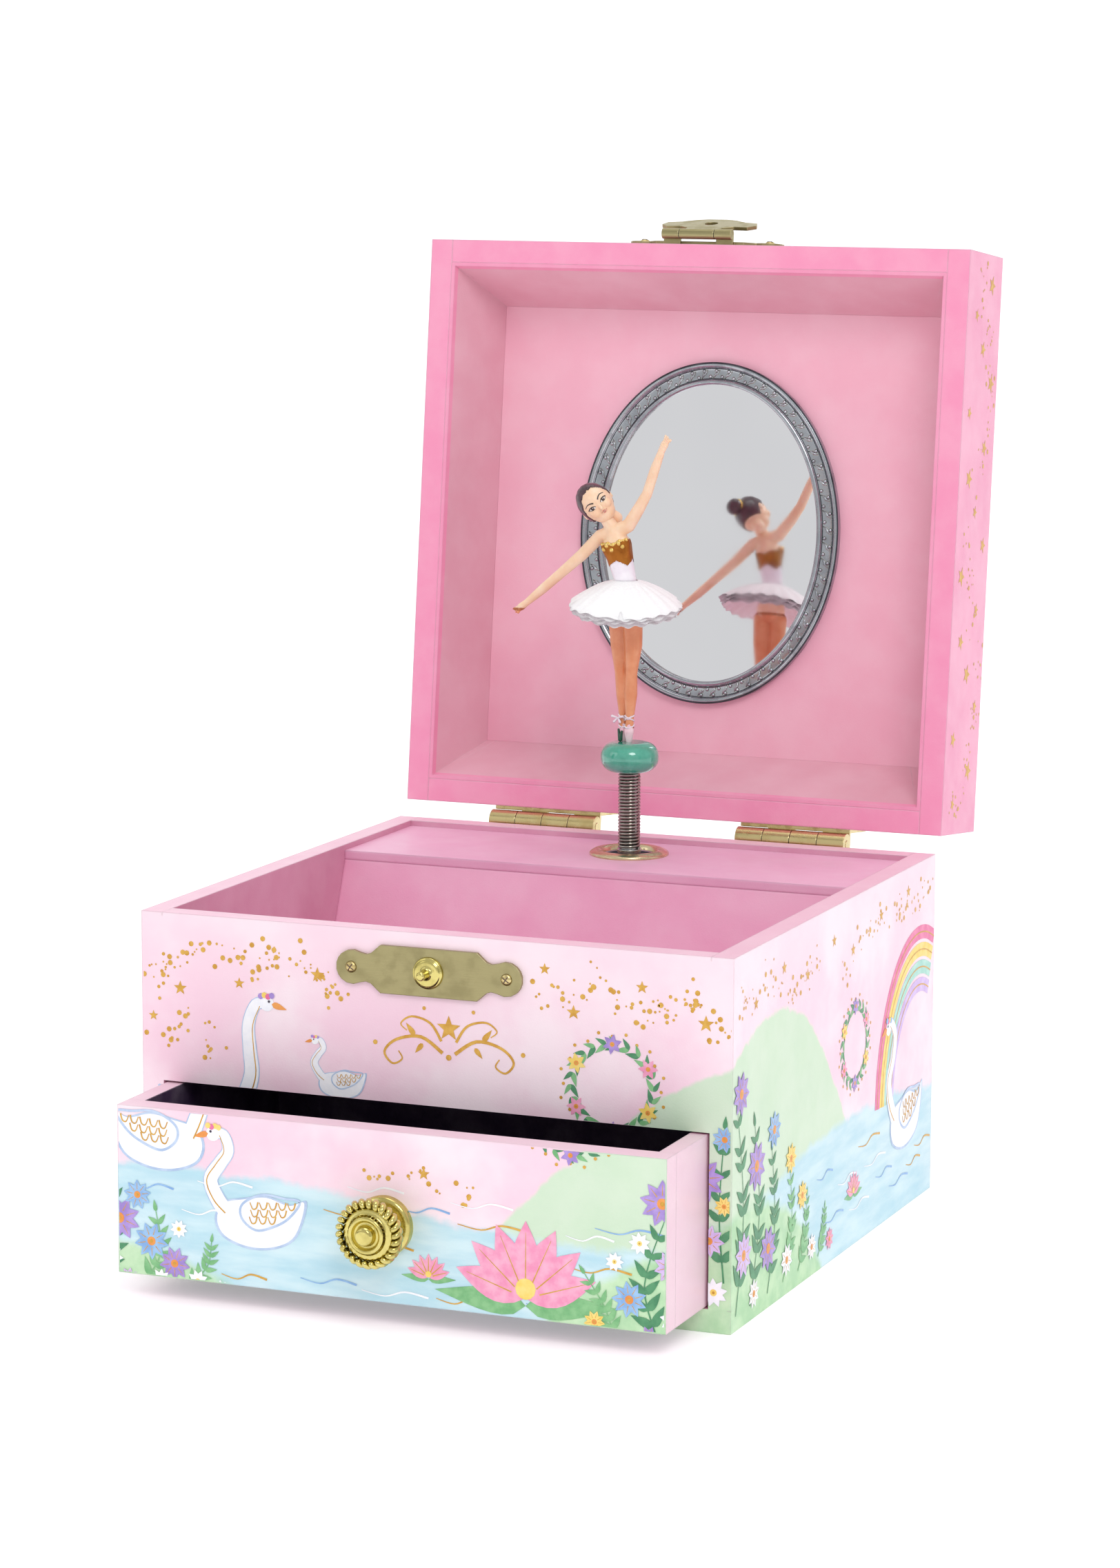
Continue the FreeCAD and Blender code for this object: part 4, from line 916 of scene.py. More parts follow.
def draw_back_and_lid(art):
    """Plainer print on the back, and gold stars, dots and a wreath on the lid."""
    art.face = "back"
    art.level = 0
    art.dust([(-56, 60), (-30, 66), (0, 58), (30, 66), (56, 60)], 120, 2.0, 21)
    art.ripples([(-30, 20), (-8, 17), (16, 21), (34, 16), (0, 10), (-20, 11), (22, 9)])
    art.level = 3
    for side in (-1, 1):
        for across, top in ((58, 40), (49, 30), (40, 20)):
            stem = [(side * across, 3), (side * (across - 3), top / 2), (side * across, top)]
            art.sprig("dark_green", stem, 5, 7)
    art.level = 5
    for side in (-1, 1):
        art.daisy("purple", "orange", (side * 56, 28), 4.6, 9, 4, "gold")
        art.daisy("white", "yellow", (side * 50, 10), 3.6, 9, 0)
        art.daisy("yellow", "orange", (side * 41, 22), 3.0, 8, 0)
    for index, face in enumerate(("lid_front", "lid_right", "lid_left")):
        art.face = face
        art.level = 0
        low, high = RIM + 4, LID_TOP - 4
        art.dust([(-58, low + 6), (-30, high), (0, low + 4), (30, high), (58, low + 6)], 110, 2.4, 31 + index)
        for step in range(17):
            art.star("gold", (-56 + 7 * step, RIM + (17, 7, 12.5, 19.5, 5)[step % 5]), (2.3, 1.5, 1.9)[step % 3])
    art.face = "lid_top"
    art.level = 0
    art.dust([(-50, -50), (50, -50), (50, 50), (-50, 50), (-50, -50)], 180, 4.0, 41)
    for turn in turns(16):
        art.star("gold", around((0, 0), 48, turn), 1.9)
    art.level = 1
    art.garland((0, 0), 32)
    art.swan((-2, -3), 1.3, 1, [(9.5, 5), (11.5, 9), (9.6, 12.6), (7.6, 15.2), (8.8, 18), (11.2, 17.8)])


# ---------------------------------------------------------------- hardware

def make_knob(material):
    """Turned brass drawer knob with a rope ring, an inner ring and a centre button."""
    low, high = span("drawer_knob")
    centre = Vector((0, DRAWER_LOW.y, (low.z + high.z) / 2))
    radius = (high.z - low.z) / 2
    depth = high.y - low.y
    profile = rounded([(0.01, -depth), (1.5, -depth + 0.1), (1.9, -depth + 0.8), (1.95, -depth + 1.9),
                       (2.6, -depth + 2.0), (2.9, -depth + 1.2), (3.6, -depth + 1.25), (3.9, -depth + 2.3),
                       (radius - 1.9, -depth + 2.4), (radius - 1.2, -depth + 3.6), (radius - 1.7, -depth + 5.2),
                       (3.6, -4.6), (3.3, -3.4), (3.7, -2.4), (5.6, -1.9), (6.0, -1.1), (5.7, -0.4), (5.8, 0)])
    parts = [lathe(profile, centre, "Y", 72)]
    ring = radius - 1.5
    strands = 26
    for strand in range(strands):
        path = []
        for step in range(9):
            swing = math.radians(-100 + 200 * step / 8)
            turn = 2 * math.pi * (strand + 1.1 * step / 8) / strands
            reach = ring + 0.9 * math.cos(swing)
            path.append(centre + Vector((reach * math.cos(turn), -depth + 3.2 + 1.2 * math.sin(swing),
                                         reach * math.sin(turn))))
        parts.append(tube(path, [0.4, 0.54, 0.62, 0.64, 0.64, 0.64, 0.62, 0.54, 0.4], 8))
    knob = make_piece("knob", *joined(parts), material, "drawer")
    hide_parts("drawer_knob")


def make_stud(material):
    """Domed stud with a pin that catches the hasp."""
    low, high = span("latch_stud")
    centre = Vector((0, high.y, (low.z + high.z) / 2))
    radius = (high.z - low.z) / 2
    depth = high.y - low.y
    profile = rounded([(0.01, -depth), (0.65, -depth + 0.03), (0.92, -depth + 0.45), (0.85, -depth + 0.9),
                       (0.8, -2.3), (0.9, -1.5), (1.25, -1.0), (radius * 0.78, -0.92), (radius * 0.86, -0.6),
                       (radius * 0.97, -0.45), (radius, 0)], 6)
    stud = make_piece("stud", *lathe(profile, centre, "Y", 48), material, "base")
    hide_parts("latch_stud")


def make_screws(node, spots, outward, material, body):
    """Domed heads with a cross, over shanks, in place of the plain screws of a CAD node."""
    matrix = TO_OPEN if body == "lid" else Matrix.Identity(4)
    head = 1.2
    profile = [(0.01, -0.55), (0.45, -0.53), (0.8, -0.42), (1.05, -0.22), (head, 0.0), (0.7, 0.02), (0.7, 3.2),
               (0.01, 3.6)]
    parts = []
    cuts = []
    lift = Vector(outward).to_track_quat("Y", "Z").to_matrix().to_4x4() @ Matrix.Rotation(math.pi, 4, "X")
    for spot in spots:
        place = matrix @ Matrix.Translation(spot) @ lift
        parts.append(moved(lathe(profile, (0, 0, 0), "Y", 24), place))
        for slot in (35, 125):
            turn = Matrix.Rotation(math.radians(slot), 4, "Y")
            line = tube([Vector((-0.8, -0.44, 0)), Vector((-0.4, -0.53, 0)), Vector((0.4, -0.53, 0)),
                         Vector((0.8, -0.44, 0))], 0.12, 6)
            cuts.append(moved(moved(line, turn), place))
    screws = make_piece(node + "_heads", *joined(parts), material, body)
    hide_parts(node)
    marks = make_piece(node + "_slots", *joined(cuts), LOOKS["iris"], body)


def make_all_screws(material):
    """The small screws of the latch, hasp and hinges, at the places of the CAD ones."""
    plate = 0.8
    front = -HALF - plate
    latch_low, latch_high = span("latch_plate")
    latch = (latch_low.z + latch_high.z) / 2
    for node, reach, height, body in (("latch_screws", 16.4, latch, "base"),
                                      ("hasp_screws", 14.6, RIM + 7.5, "lid")):
        make_screws(node, [(side * reach, front, height) for side in (-1, 1)], (0, -1, 0), material, body)
    for node, height, body in (("base_hinge_screws", RIM - 7.9, "base"), ("lid_hinge_screws", RIM + 7.9, "lid")):
        spots = [(side * 29 + hole * 7.5, HALF + 0.9, height) for side in (-1, 1) for hole in (-1, 1)]
        make_screws(node, spots, (0, 1, 0), material, body)


def make_mirror_frame(silver, tarnish_and_shade):
    """Oval pressed frame: two raised rims and a band of beads and leaves between them."""
    low, high = span("mirror_frame")
    glass = span("mirror_glass")[1]
    to_closed = TO_OPEN.inverted()
    centre = to_closed @ ((low + high) / 2)
    outer = Vector((high.x, 37.8))
    inner = Vector((glass.x - 0.3, 32.9))
    back = centre.z + 0.9
    depth = 1.8

    def at(turn, across, out):
        reach = inner.lerp(outer, across)
        return TO_OPEN @ Vector((reach.x * math.cos(turn), centre.y + reach.y * math.sin(turn), back - out))

    profile = rounded([(0, 0.1), (0, 1.35), (0.09, 1.62), (0.2, 1.5), (0.25, 1.05), (0.73, 1.05), (0.79, 1.55),
                       (0.89, depth), (0.98, 1.6), (1, 1.0), (1, 0.05)], 3)
    steps = 180
    points = []
    for across, out in profile:
        points += [at(turn, across, out) for turn in turns(steps)]
    parts = [(points, grid_faces(len(profile), steps))]
    beads = 62
    for turn in turns(beads):
        normal = (at(turn, 0.5, 1) - at(turn, 0.5, 0)).normalized()
        ball = lathe([(0.45 * math.sin(math.radians(a)), 0.42 * math.cos(math.radians(a)))
                      for a in (1, 30, 60, 90)], (0, 0, 0), "Z", 10)
        lift = normal.to_track_quat("Z", "Y").to_matrix().to_4x4()
        for across, shift in ((0.36, 0.0), (0.62, 0.5)):
            spot = at(turn + shift * 2 * math.pi / beads, across, 1.05)
            parts.append(moved(ball, Matrix.Translation(spot) @ lift))
        leaf = [at(turn + share * 2 * math.pi / beads, across, 1.12)
                for share, across in ((0.25, 0.3), (0.42, 0.45), (0.6, 0.5), (0.78, 0.66))]
        parts.append(tube(leaf, [0.1, 0.3, 0.3, 0.1], 6))
    frame_piece = make_piece("mirror_surround", *joined(parts), silver, "lid")
    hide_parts("mirror_frame")
    # Dark lines along the frame's channels: tarnish, and painted shade in the hollows.
    lines = [tube([at(turn, across, out) for turn in turns(steps)], 0.2, 6, True)
             for across, out in ((0.26, 1.0), (0.73, 1.0), (0.97, 1.62))]
    groove_shade_lines = make_piece("mirror_groove_shade_lines", *joined(lines), tarnish_and_shade, "lid")


def make_ferrule(material, dark):
    """Rounded ring that leads down into the hole for the spring."""
    low, high = span("spring_ferrule")
    radius = high.x
    foot = high.z - 1.2
    profile = rounded([(radius, foot), (radius, foot + 0.5), (radius - 0.9, high.z - 0.15), (radius - 1.5, high.z),
                       (radius - 2.2, high.z - 0.1), (radius - 2.7, high.z - 0.6), (radius - 2.9, high.z - 1.3),
                       (5.5, foot), (radius, foot)], 4)
    ring = make_piece("ferrule_ring", *lathe(profile, (SPIN.x, SPIN.y, 0), "Z", 96), material, "base")
    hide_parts("spring_ferrule")
    # The bore is lined with the dark tarnish metal: tarnish, and painted shade down in the hole.
    profile = rounded([(5.55, high.z - 1.3), (5.1, high.z - 1.5), (4.55, high.z - 1.9), (4.5, low.z), (5.4, low.z),
                       (5.4, high.z - 1.5)], 3)
    bore = make_piece("ferrule_bore", *lathe(profile, (SPIN.x, SPIN.y, 0), "Z", 96), dark, "base")


def make_spring(material):
    """Close-wound steel spring between the ferrule and the bead."""
    low, high = span("figure_spring")
    wire = 0.31
    radius = high.x - wire
    turns = 25
    per_turn = 24
    path = []
    for step in range(turns * per_turn + 1):
        turn = 2 * math.pi * step / per_turn
        height = low.z + 0.1 + (high.z - low.z - 0.4) * step / (turns * per_turn)
        path.append(Vector((SPIN.x + radius * math.cos(turn), SPIN.y + radius * math.sin(turn), height)))
    coil = make_piece("spring_coil", *tube(path, wire, 8), material)
    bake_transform(coil)
    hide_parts("figure_spring")


# ---------------------------------------------------------------- the dancer

BODY_POINTS = {
    "toe_front": (0.1, -0.7, 96.3), "instep_front": (0.15, -0.85, 98.6), "ankle_front": (0.2, -0.6, 101.0),
    "calf_front": (0.2, -0.1, 106.2), "knee_front": (0.4, -0.3, 111.0), "thigh_front": (0.8, -0.3, 117.0),
    "hip_front": (0.6, -0.3, 122.5),
    "toe_back": (-1.6, 0.7, 96.3), "instep_back": (-1.65, 0.5, 98.6), "ankle_back": (-1.7, 0.6, 101.0),
    "calf_back": (-2.0, 0.8, 106.2), "knee_back": (-2.3, 0.3, 111.0), "thigh_back": (-2.6, 0.3, 117.0),
    "hip_back": (-2.8, 0.2, 122.5),
    "pelvis": (-1.1, 0, 124.5), "waist": (-1.2, 0, 131.0), "ribs": (-2.2, -0.1, 134.6), "chest": (-3.0, -0.2, 138.2),
    "bust_left": (-4.5, -1.3, 138.0), "bust_right": (-1.4, -1.3, 138.7),
    "collar": (-3.9, 0, 140.8), "throat": (-4.6, 0, 142.2), "nape": (-6.4, 0.2, 144.6),
    "shoulder_up": (-0.6, 0.1, 142.4), "upper_up": (1.8, -0.3, 146.0), "elbow_up": (3.8, -0.5, 149.4),
    "fore_up": (5.6, -0.8, 154.6), "wrist_up": (7.2, -1.0, 158.6), "palm_up": (7.9, -1.1, 160.0),
    "tip_up": (8.6, -1.2, 161.2),
    "shoulder_out": (-7.0, 0, 139.9), "upper_out": (-11.2, -0.5, 135.6), "elbow_out": (-15.6, -1.0, 131.7),
    "fore_out": (-19.8, -1.5, 128.0), "wrist_out": (-23.2, -1.8, 125.1), "palm_out": (-24.4, -1.9, 124.2),
    "tip_out": (-25.5, -2.0, 123.4),
}

BODY_CHAINS = (
    (("toe_front", 0.55), ("instep_front", 0.95), ("ankle_front", 0.86), ("calf_front", 1.42),
     ("knee_front", 1.28), ("thigh_front", 1.95), ("hip_front", 2.2)),
    (("toe_back", 0.55), ("instep_back", 0.95), ("ankle_back", 0.86), ("calf_back", 1.42), ("knee_back", 1.28),
     ("thigh_back", 1.95), ("hip_back", 2.2)),
    (("pelvis", 3.3), ("waist", 2.25), ("ribs", 2.55), ("chest", 2.9), ("collar", 2.0), ("throat", 1.5),
     ("nape", 1.3)),
    (("ribs", 2.3), ("bust_left", 1.55)), (("ribs", 2.3), ("bust_right", 1.55)),
    (("collar", 1.75), ("shoulder_up", 1.45), ("upper_up", 1.3), ("elbow_up", 1.12), ("fore_up", 1.06),
     ("wrist_up", 0.76), ("palm_up", 0.86), ("tip_up", 0.36)),
    (("collar", 1.75), ("shoulder_out", 1.42), ("upper_out", 1.26), ("elbow_out", 1.1), ("fore_out", 1.04),
     ("wrist_out", 0.74), ("palm_out", 0.84), ("tip_out", 0.36)),
)

FINGERS = (
    ("palm_up", ((1.5, -0.3, 1.0), (1.0, -0.9, 1.7), (0.3, -0.2, 1.9))),
    ("palm_out", ((-1.6, -0.4, -0.5), (-1.3, 0.3, -1.3), (-0.5, -0.6, -1.3))),
)

HEAD = Vector((-8.0, -0.3, 147.0))
HEAD_SIZE = Vector((3.55, 3.9, 4.6))
HEAD_TILT = math.radians(-44)
FACE_TURN = math.radians(30)


def capsule(start, end, first, last, steps=16):
    """A tapered limb with round ends."""
    way = end - start
    turn = way.to_track_quat("Z", "Y").to_matrix().to_4x4()
    profile = [(max(first * math.cos(math.radians(a)), 0.01), first * math.sin(math.radians(a)))
               for a in range(-90, 1, 15)]
    profile += [(max(last * math.cos(math.radians(a)), 0.01), way.length + last * math.sin(math.radians(a)))
                for a in range(0, 91, 15)]
    points, faces = lathe(profile, (0, 0, 0), "Z", steps)
    count = len(profile)
    faces = faces + [tuple(range(steps))[::-1], tuple(range((count - 1) * steps, count * steps))]
    return moved((points, faces), Matrix.Translation(start) @ turn)


def ball(radii, steps=28):
    """A closed ellipsoid round the origin."""
    profile = [(max(math.cos(math.radians(a)), 0.005), math.sin(math.radians(a))) for a in range(-90, 91, 6)]
    points, faces = lathe(profile, (0, 0, 0), "Z", steps)
    count = len(profile)
    faces = faces + [tuple(range(steps))[::-1], tuple(range((count - 1) * steps, count * steps))]
    return [Vector((p.x * radii[0], p.y * radii[1], p.z * radii[2])) for p in points], faces


def fused(parts, voxel, relax=4):
    """One smooth skin round overlapping closed forms, as points in millimetres and faces."""
    points, faces = joined(parts)
    mesh = bpy.data.meshes.new("fusing")
    mesh.from_pydata(points, [], faces)
    mesh.validate()
    shape = bpy.data.objects.new("fusing", mesh)
    bpy.context.scene.collection.objects.link(shape)
    remesh = shape.modifiers.new("remesh", "REMESH")
    remesh.mode = "VOXEL"
    remesh.voxel_size = voxel
    relaxed = shape.modifiers.new("relaxed", "SMOOTH")
    relaxed.factor = 0.5
    relaxed.iterations = relax
    graph = bpy.context.evaluated_depsgraph_get()
    result = bpy.data.meshes.new_from_object(shape.evaluated_get(graph))
    points = [vertex.co.copy() for vertex in result.vertices]
    faces = [tuple(polygon.vertices) for polygon in result.polygons]
    normals = [vertex.normal.copy() for vertex in result.vertices]
    bpy.data.objects.remove(shape)
    bpy.data.meshes.remove(mesh)
    bpy.data.meshes.remove(result)
    return points, faces, normals


def patch(points, faces, normals, keep, lift):
    """The faces whose middle passes a test, lifted off the surface, as points and faces."""
    index_of = {}
    new_points = []
    new_faces = []
    for face in faces:
        middle = sum((points[index] for index in face), Vector()) / len(face)
        if not keep(middle):
            continue
        corners = []
        for index in face:
            if index not in index_of:
                index_of[index] = len(new_points)
                new_points.append(points[index] + normals[index] * lift)
            corners.append(index_of[index])
        new_faces.append(tuple(corners))
    return new_points, new_faces


def neckline(across, dip):
    """Height of the bodice's upper edge at a distance from its middle."""
    return 139.0 + 0.22 * across - dip * math.exp(-(across / 0.8) ** 2)


def seen_from_front(tree, x, z, middle=0.0):
    """The first point of a surface along +Y, from well in front of its middle."""
    return tree.ray_cast(Vector((x, middle - 20, z)), Vector((0, 1, 0)))[0]


def paint(name, part, material):
    piece = make_piece(name, *part, material, "ballerina")
    return piece


def make_body(looks):
    """Moulded body: tights, skin, bodice, waist and shoes, each as its own painted layer."""
    at = {name: Vector((SPIN.x, SPIN.y, 0)) + Vector(place) for name, place in BODY_POINTS.items()}
    parts = []
    for chain in BODY_CHAINS:
        for (start, first), (end, last) in zip(chain, chain[1:]):
            parts.append(capsule(at[start], at[end], first, last))
    for palm, tips in FINGERS:
        for tip in tips:
            parts.append(capsule(at[palm], at[palm] + Vector(tip), 0.52, 0.27, 10))
    points, faces, normals = fused(parts, 0.17, 5)
    floor = BEAD_TOP - 0.05
    hip = 124.0

    def bodice_low(place):
        turn = math.atan2(place.y - SPIN.y, place.x - SPIN.x + 1.6)
        wave = abs(((turn / (math.pi / 3.5)) % 2) - 1)
        return 133.9 + 1.3 * wave + 0.12 * (place.x - SPIN.x + 2)

    def bodice_high(place):
        across = place.x - SPIN.x + 3.0
        return neckline(across, 0.55) - (0.9 if place.y > SPIN.y + 0.6 else 0)

    def near_torso(place):
        return abs(place.x - SPIN.x + 2.6) < 4.3

    legs = patch(points, faces, normals, lambda p: floor < p.z < hip, 0)
    skin = patch(points, faces, normals, lambda p: p.z >= hip - 0.6, 0)
    bodice = patch(points, faces, normals,
                   lambda p: near_torso(p) and bodice_low(p) < p.z < bodice_high(p), 0.2)
    waist = patch(points, faces, normals, lambda p: near_torso(p) and 126 < p.z < bodice_low(p) + 0.5, 0.1)
    shoes = patch(points, faces, normals, lambda p: floor < p.z < 99.6 + 0.5 * math.sin(4 * p.x), 0.14)
    paint("dancer_tights", legs, looks["tights"])
    body = paint("dancer_skin", skin, looks["skin"])
    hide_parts("ballerina_figure")
    paint("dancer_bodice", bodice, looks["bodice"])
    paint("dancer_waist", waist, looks["satin"])
    paint("dancer_shoes", shoes, looks["shoes"])

    tree = BVHTree.FromPolygons([p.copy() for p in points], faces)
    beads = []
    for index in range(15):
        across = -5.9 + 6.0 * index / 14
        hit = seen_from_front(tree, SPIN.x + across, neckline(across + 3.0, 0.5), SPIN.y)
        if hit:
            size = 0.42 if index % 3 == 1 else 0.3
            beads.append(moved(ball((size, size, size), 10), Matrix.Translation(hit + Vector((0, -0.1, 0)))))
    for across, height in ((-4.4, 138.2), (-1.7, 138.8), (-3.2, 137.4), (-0.9, 138.2), (-5.1, 137.4)):
        hit = seen_from_front(tree, SPIN.x + across, height, SPIN.y)
        if hit:
            beads.append(moved(ball((0.5, 0.3, 0.5), 10), Matrix.Translation(hit + Vector((0, -0.1, 0)))))
    paint("dancer_beads", joined(beads), looks["gold"])

    ribbons = []
    for name in ("front", "back"):
        low, high = at["instep_" + name], at["ankle_" + name]
        for way in (-1, 1):
            path = []
            for step in range(25):
                share = step / 24
                middle = low.lerp(high, 0.25 + 1.15 * share)
                turn = way * 2 * math.pi * 1.25 * share - math.pi / 2
                spot = middle + Vector((math.cos(turn), math.sin(turn), 0)) * 4
                hit = tree.ray_cast(spot, (middle - spot).normalized())[0]
                path.append((hit or middle) + (spot - middle).normalized() * 0.06)
            ribbons.append(tube(path, 0.17, 6))
    bow = at["ankle_back"] + Vector((-0.95, -0.9, 0.2))
    for turn in (20, 160, 235, 300):
        angle = math.radians(turn)
        tip = bow + Vector((1.25 * math.cos(angle), -0.3, 1.0 * math.sin(angle)))
        ribbons.append(capsule(bow, tip, 0.16, 0.3, 8))
    paint("dancer_ribbons", joined(ribbons), looks["satin"])
    foot = at["toe_back"] + Vector((-0.5, -1.0, 0.3))
    leaves = [capsule(foot, foot + Vector(tip), 0.5, 0.25, 10) for tip in ((-0.3, -0.2, 2.1), (0.5, -0.3, 1.7))]
    paint("dancer_leaf", joined(leaves), looks["leaf"])


def make_head(looks):
    """Calm doll's head: skin, hair with a bun, and painted features."""
    place = (Matrix.Translation(Vector((SPIN.x, SPIN.y, 0)) + HEAD) @ Matrix.Rotation(FACE_TURN, 4, "Z")
             @ Matrix.Rotation(HEAD_TILT, 4, "Y"))
    rx, ry, rz = HEAD_SIZE
    skull = ball((rx, ry, rz * 0.94))
    jaw = moved(ball((rx * 0.72, ry * 0.74, rz * 0.5)), Matrix.Translation((0, -0.7, -rz * 0.52)))
    nose = capsule(Vector((0, -ry + 0.15, 0.0)), Vector((0, -ry - 0.42, -0.95)), 0.26, 0.36, 10)
    lips = moved(ball((0.75, 0.4, 0.38), 16), Matrix.Translation((0, -ry + 0.25, -1.95)))
    cheeks = [moved(ball((1.25, 1.1, 1.2), 16), Matrix.Translation((side * 1.45, -ry + 1.2, -1.0)))
              for side in (-1, 1)]
    ears = [moved(ball((0.35, 0.7, 0.95), 12), Matrix.Translation((side * (rx - 0.05), 0.1, -0.7)))
            for side in (-1, 1)]
    neck = capsule(Vector((0.2, 0.7, -rz * 0.6)), Vector((0.9, 1.1, -rz - 1.0)), 1.35, 1.45)
    points, faces, _ = fused([skull, jaw, nose, lips, neck] + cheeks + ears, 0.13, 5)
    paint("dancer_head", moved((points, faces), place), looks["skin"])

    hair_points = []
    for point in ball((1, 1, 1), 64)[0]:
        across, deep, up = point
        face = ((across - 0.05) / 0.93) ** 2 + ((up + 0.12) / 0.93) ** 2
        line = 1.0 + 0.03 * math.sin(14 * math.atan2(up, across))
        open_face = deep < 0.12 and face < line
        lower = up < -0.62
        reach = 0.9 if open_face or lower else 1.05
        strand = 1 + 0.008 * math.sin(34 * math.atan2(across, deep + 1.6))
        hair_points.append(Vector((across * rx, deep * ry, up * rz * 0.97)) * reach * strand)
    bun = moved(ball((2.0, 1.6, 1.9)), Matrix.Translation((0, ry + 0.7, 1.6)))
    band = tube([Vector((1.75 * math.cos(a), ry - 0.2, 1.6 + 1.75 * math.sin(a)))
                 for a in turns(24)], 0.28, 8, True)
    hair = fused([(hair_points, ball((1, 1, 1), 64)[1]), bun], 0.12, 3)
    paint("dancer_hair", moved(hair[:2], place), looks["hair"])
    paint("dancer_hair_band", moved(band, place), looks["gold"])

    art = Artwork()
    art.face = "face"
    for side in (-1, 1):
        def at(*spots):
            return [(side * across, up) for across, up in spots]
        eye = at((0.75, 0.02), (1.15, 0.34), (1.75, 0.4), (2.3, 0.12), (1.8, -0.2), (1.2, -0.22))
        art.level = 0
        art.polygon("eye_white", smooth_path(eye, True, 4))
        art.level = 1
        art.disc("iris", (side * 1.5, 0.08), 0.36, 14)
        art.level = 2
        art.disc("line", (side * 1.5, 0.08), 0.2, 12)
        art.stroke("line", at((0.7, 0.0), (1.15, 0.38), (1.75, 0.46), (2.45, 0.16)), 0.14, 0.24)
        art.stroke("line", at((1.1, -0.24), (1.75, -0.22), (2.3, 0.1)), 0.05, 0.1)
        art.stroke("line", at((0.62, 0.86), (1.2, 1.24), (1.9, 1.3), (2.6, 0.92)), 0.3, 0.1)
        art.level = 3
        # A small white dot on each iris: a painted highlight.
        art.disc("eye_white", (side * 1.5 + 0.12, 0.2), 0.09, 8)
    art.level = 0
    art.polygon("lip", smooth_path([(-0.78, -1.9), (-0.4, -1.68), (-0.13, -1.6), (0, -1.68), (0.13, -1.6),
                                    (0.4, -1.68), (0.78, -1.9), (0.36, -2.2), (0, -2.28), (-0.36, -2.2)], True, 3))
    art.level = 1
    art.stroke("lip_dark", [(-0.7, -1.9), (-0.2, -1.88), (0, -1.93), (0.2, -1.88), (0.7, -1.9)], 0.07)
    tree = BVHTree.FromPolygons(points, faces)
    sheets = {}
    for _, colour, out, triangle in art.shapes:
        sheet_points, sheet_faces = sheets.setdefault(colour, ([], []))
        corners = [Vector((u, 0, v)) for u, v in triangle]
        middle = sum(corners, Vector()) / 3
        for start, end in ((0, 1), (1, 2), (2, 0)):
            offset = len(sheet_points)
            for spot in (corners[start], (corners[start] + corners[end]) / 2, middle, corners[end]):
                sheet_points.append(seen_from_front(tree, spot.x, spot.z) + Vector((0, -out, 0)))
            sheet_faces.append((offset, offset + 1, offset + 2))
            sheet_faces.append((offset + 1, offset + 3, offset + 2))
    for colour, part in sheets.items():
        paint("dancer_" + colour, moved(part, place), looks[colour])


def make_tutu(material):
    """Four gathered rounds of net that spread from the waist, each with a frilled hem."""
    centre = Vector((SPIN.x - 1.1, SPIN.y, 0))
    folds = 19
    steps = folds * 12
    rows = 18
    layers = ((12.3, 130.8, 125.6, 0.13), (12.1, 130.2, 125.0, 0.16), (11.7, 129.6, 124.4, 0.18),
              (11.1, 129.0, 123.8, 0.18))
    ring = 2.5
    for layer, (reach, waist, rim, swing) in enumerate(layers):
        rng = random.Random(70 + layer)
        phases = [rng.uniform(0, 6.28) for _ in range(3)]
        points = []
        for row in range(rows):
            share = row / (rows - 1)
            for turn in turns(steps):
                fold = math.sin(folds * turn + phases[0] + 1.6 * math.sin(3 * turn + phases[1]))
                slow = math.sin(4 * turn + phases[2])
                radius = ring + (reach - 2.7 + 0.15 * slow) * share + 0.14 * share ** 3 * math.cos(
                    folds * turn + phases[1])
                drop = (waist - rim) * (0.55 * share + 0.45 * share ** 2)
                tilt = 1.7 * share * math.cos(turn + 1.2)
                frill = (0.06 + swing * share) * fold * min(1, share * 3)
                height = waist - drop - tilt + frill + 0.2 * slow * share
                points.append(centre + Vector((radius * math.cos(turn), radius * math.sin(turn), height)))
        piece = make_piece(f"tutu_net_{layer}", points, grid_faces(rows, steps), material, "ballerina")
        if layer == 0:
            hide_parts("tutu")


# ---------------------------------------------------------------- finishes on the CAD nodes

def dress(names, material):
    for name in names:
        node = bpy.data.objects[name]
        node.data.materials.clear()
        node.data.materials.append(material)


card = case_paper()
drawer_card = drawer_paper()
lid_card = lid_paper()
dull_brass = metal("dull_brass", "a69c72", "918860", 0.34, 0.5, patchy=0.35)
bright_brass = metal("bright_brass", "d6c87c", "a99a52", 0.1, 0.24, 0.01)
pale_brass = metal("pale_brass", "d8c58e", "b39d63", 0.22, 0.4, 0.01)
movement_brass = metal("movement_brass", "d3ad5a", "a9853e", 0.22, 0.42)
bright_steel = metal("bright_steel", "c3c5c8", "8f9296", 0.2, 0.4)
spring_steel = metal("spring_steel", "a8a29a", "5e5750", 0.14, 0.28, 0.005, 0.05)
casting = metal("casting", "a8a69d", "84827a", 0.42, 0.6, 0.05)
silver = metal("pressed_silver", "b0b4b9", "7f848b", 0.2, 0.36, 0.01, 0.05)
# Dark metal for the mirror frame's channels and the ferrule's bore: tarnish, and painted shade in these hollows.
tarnish_and_shade = metal("groove_tarnish_and_shade", "4c5057", "2e3136", 0.4, 0.6)

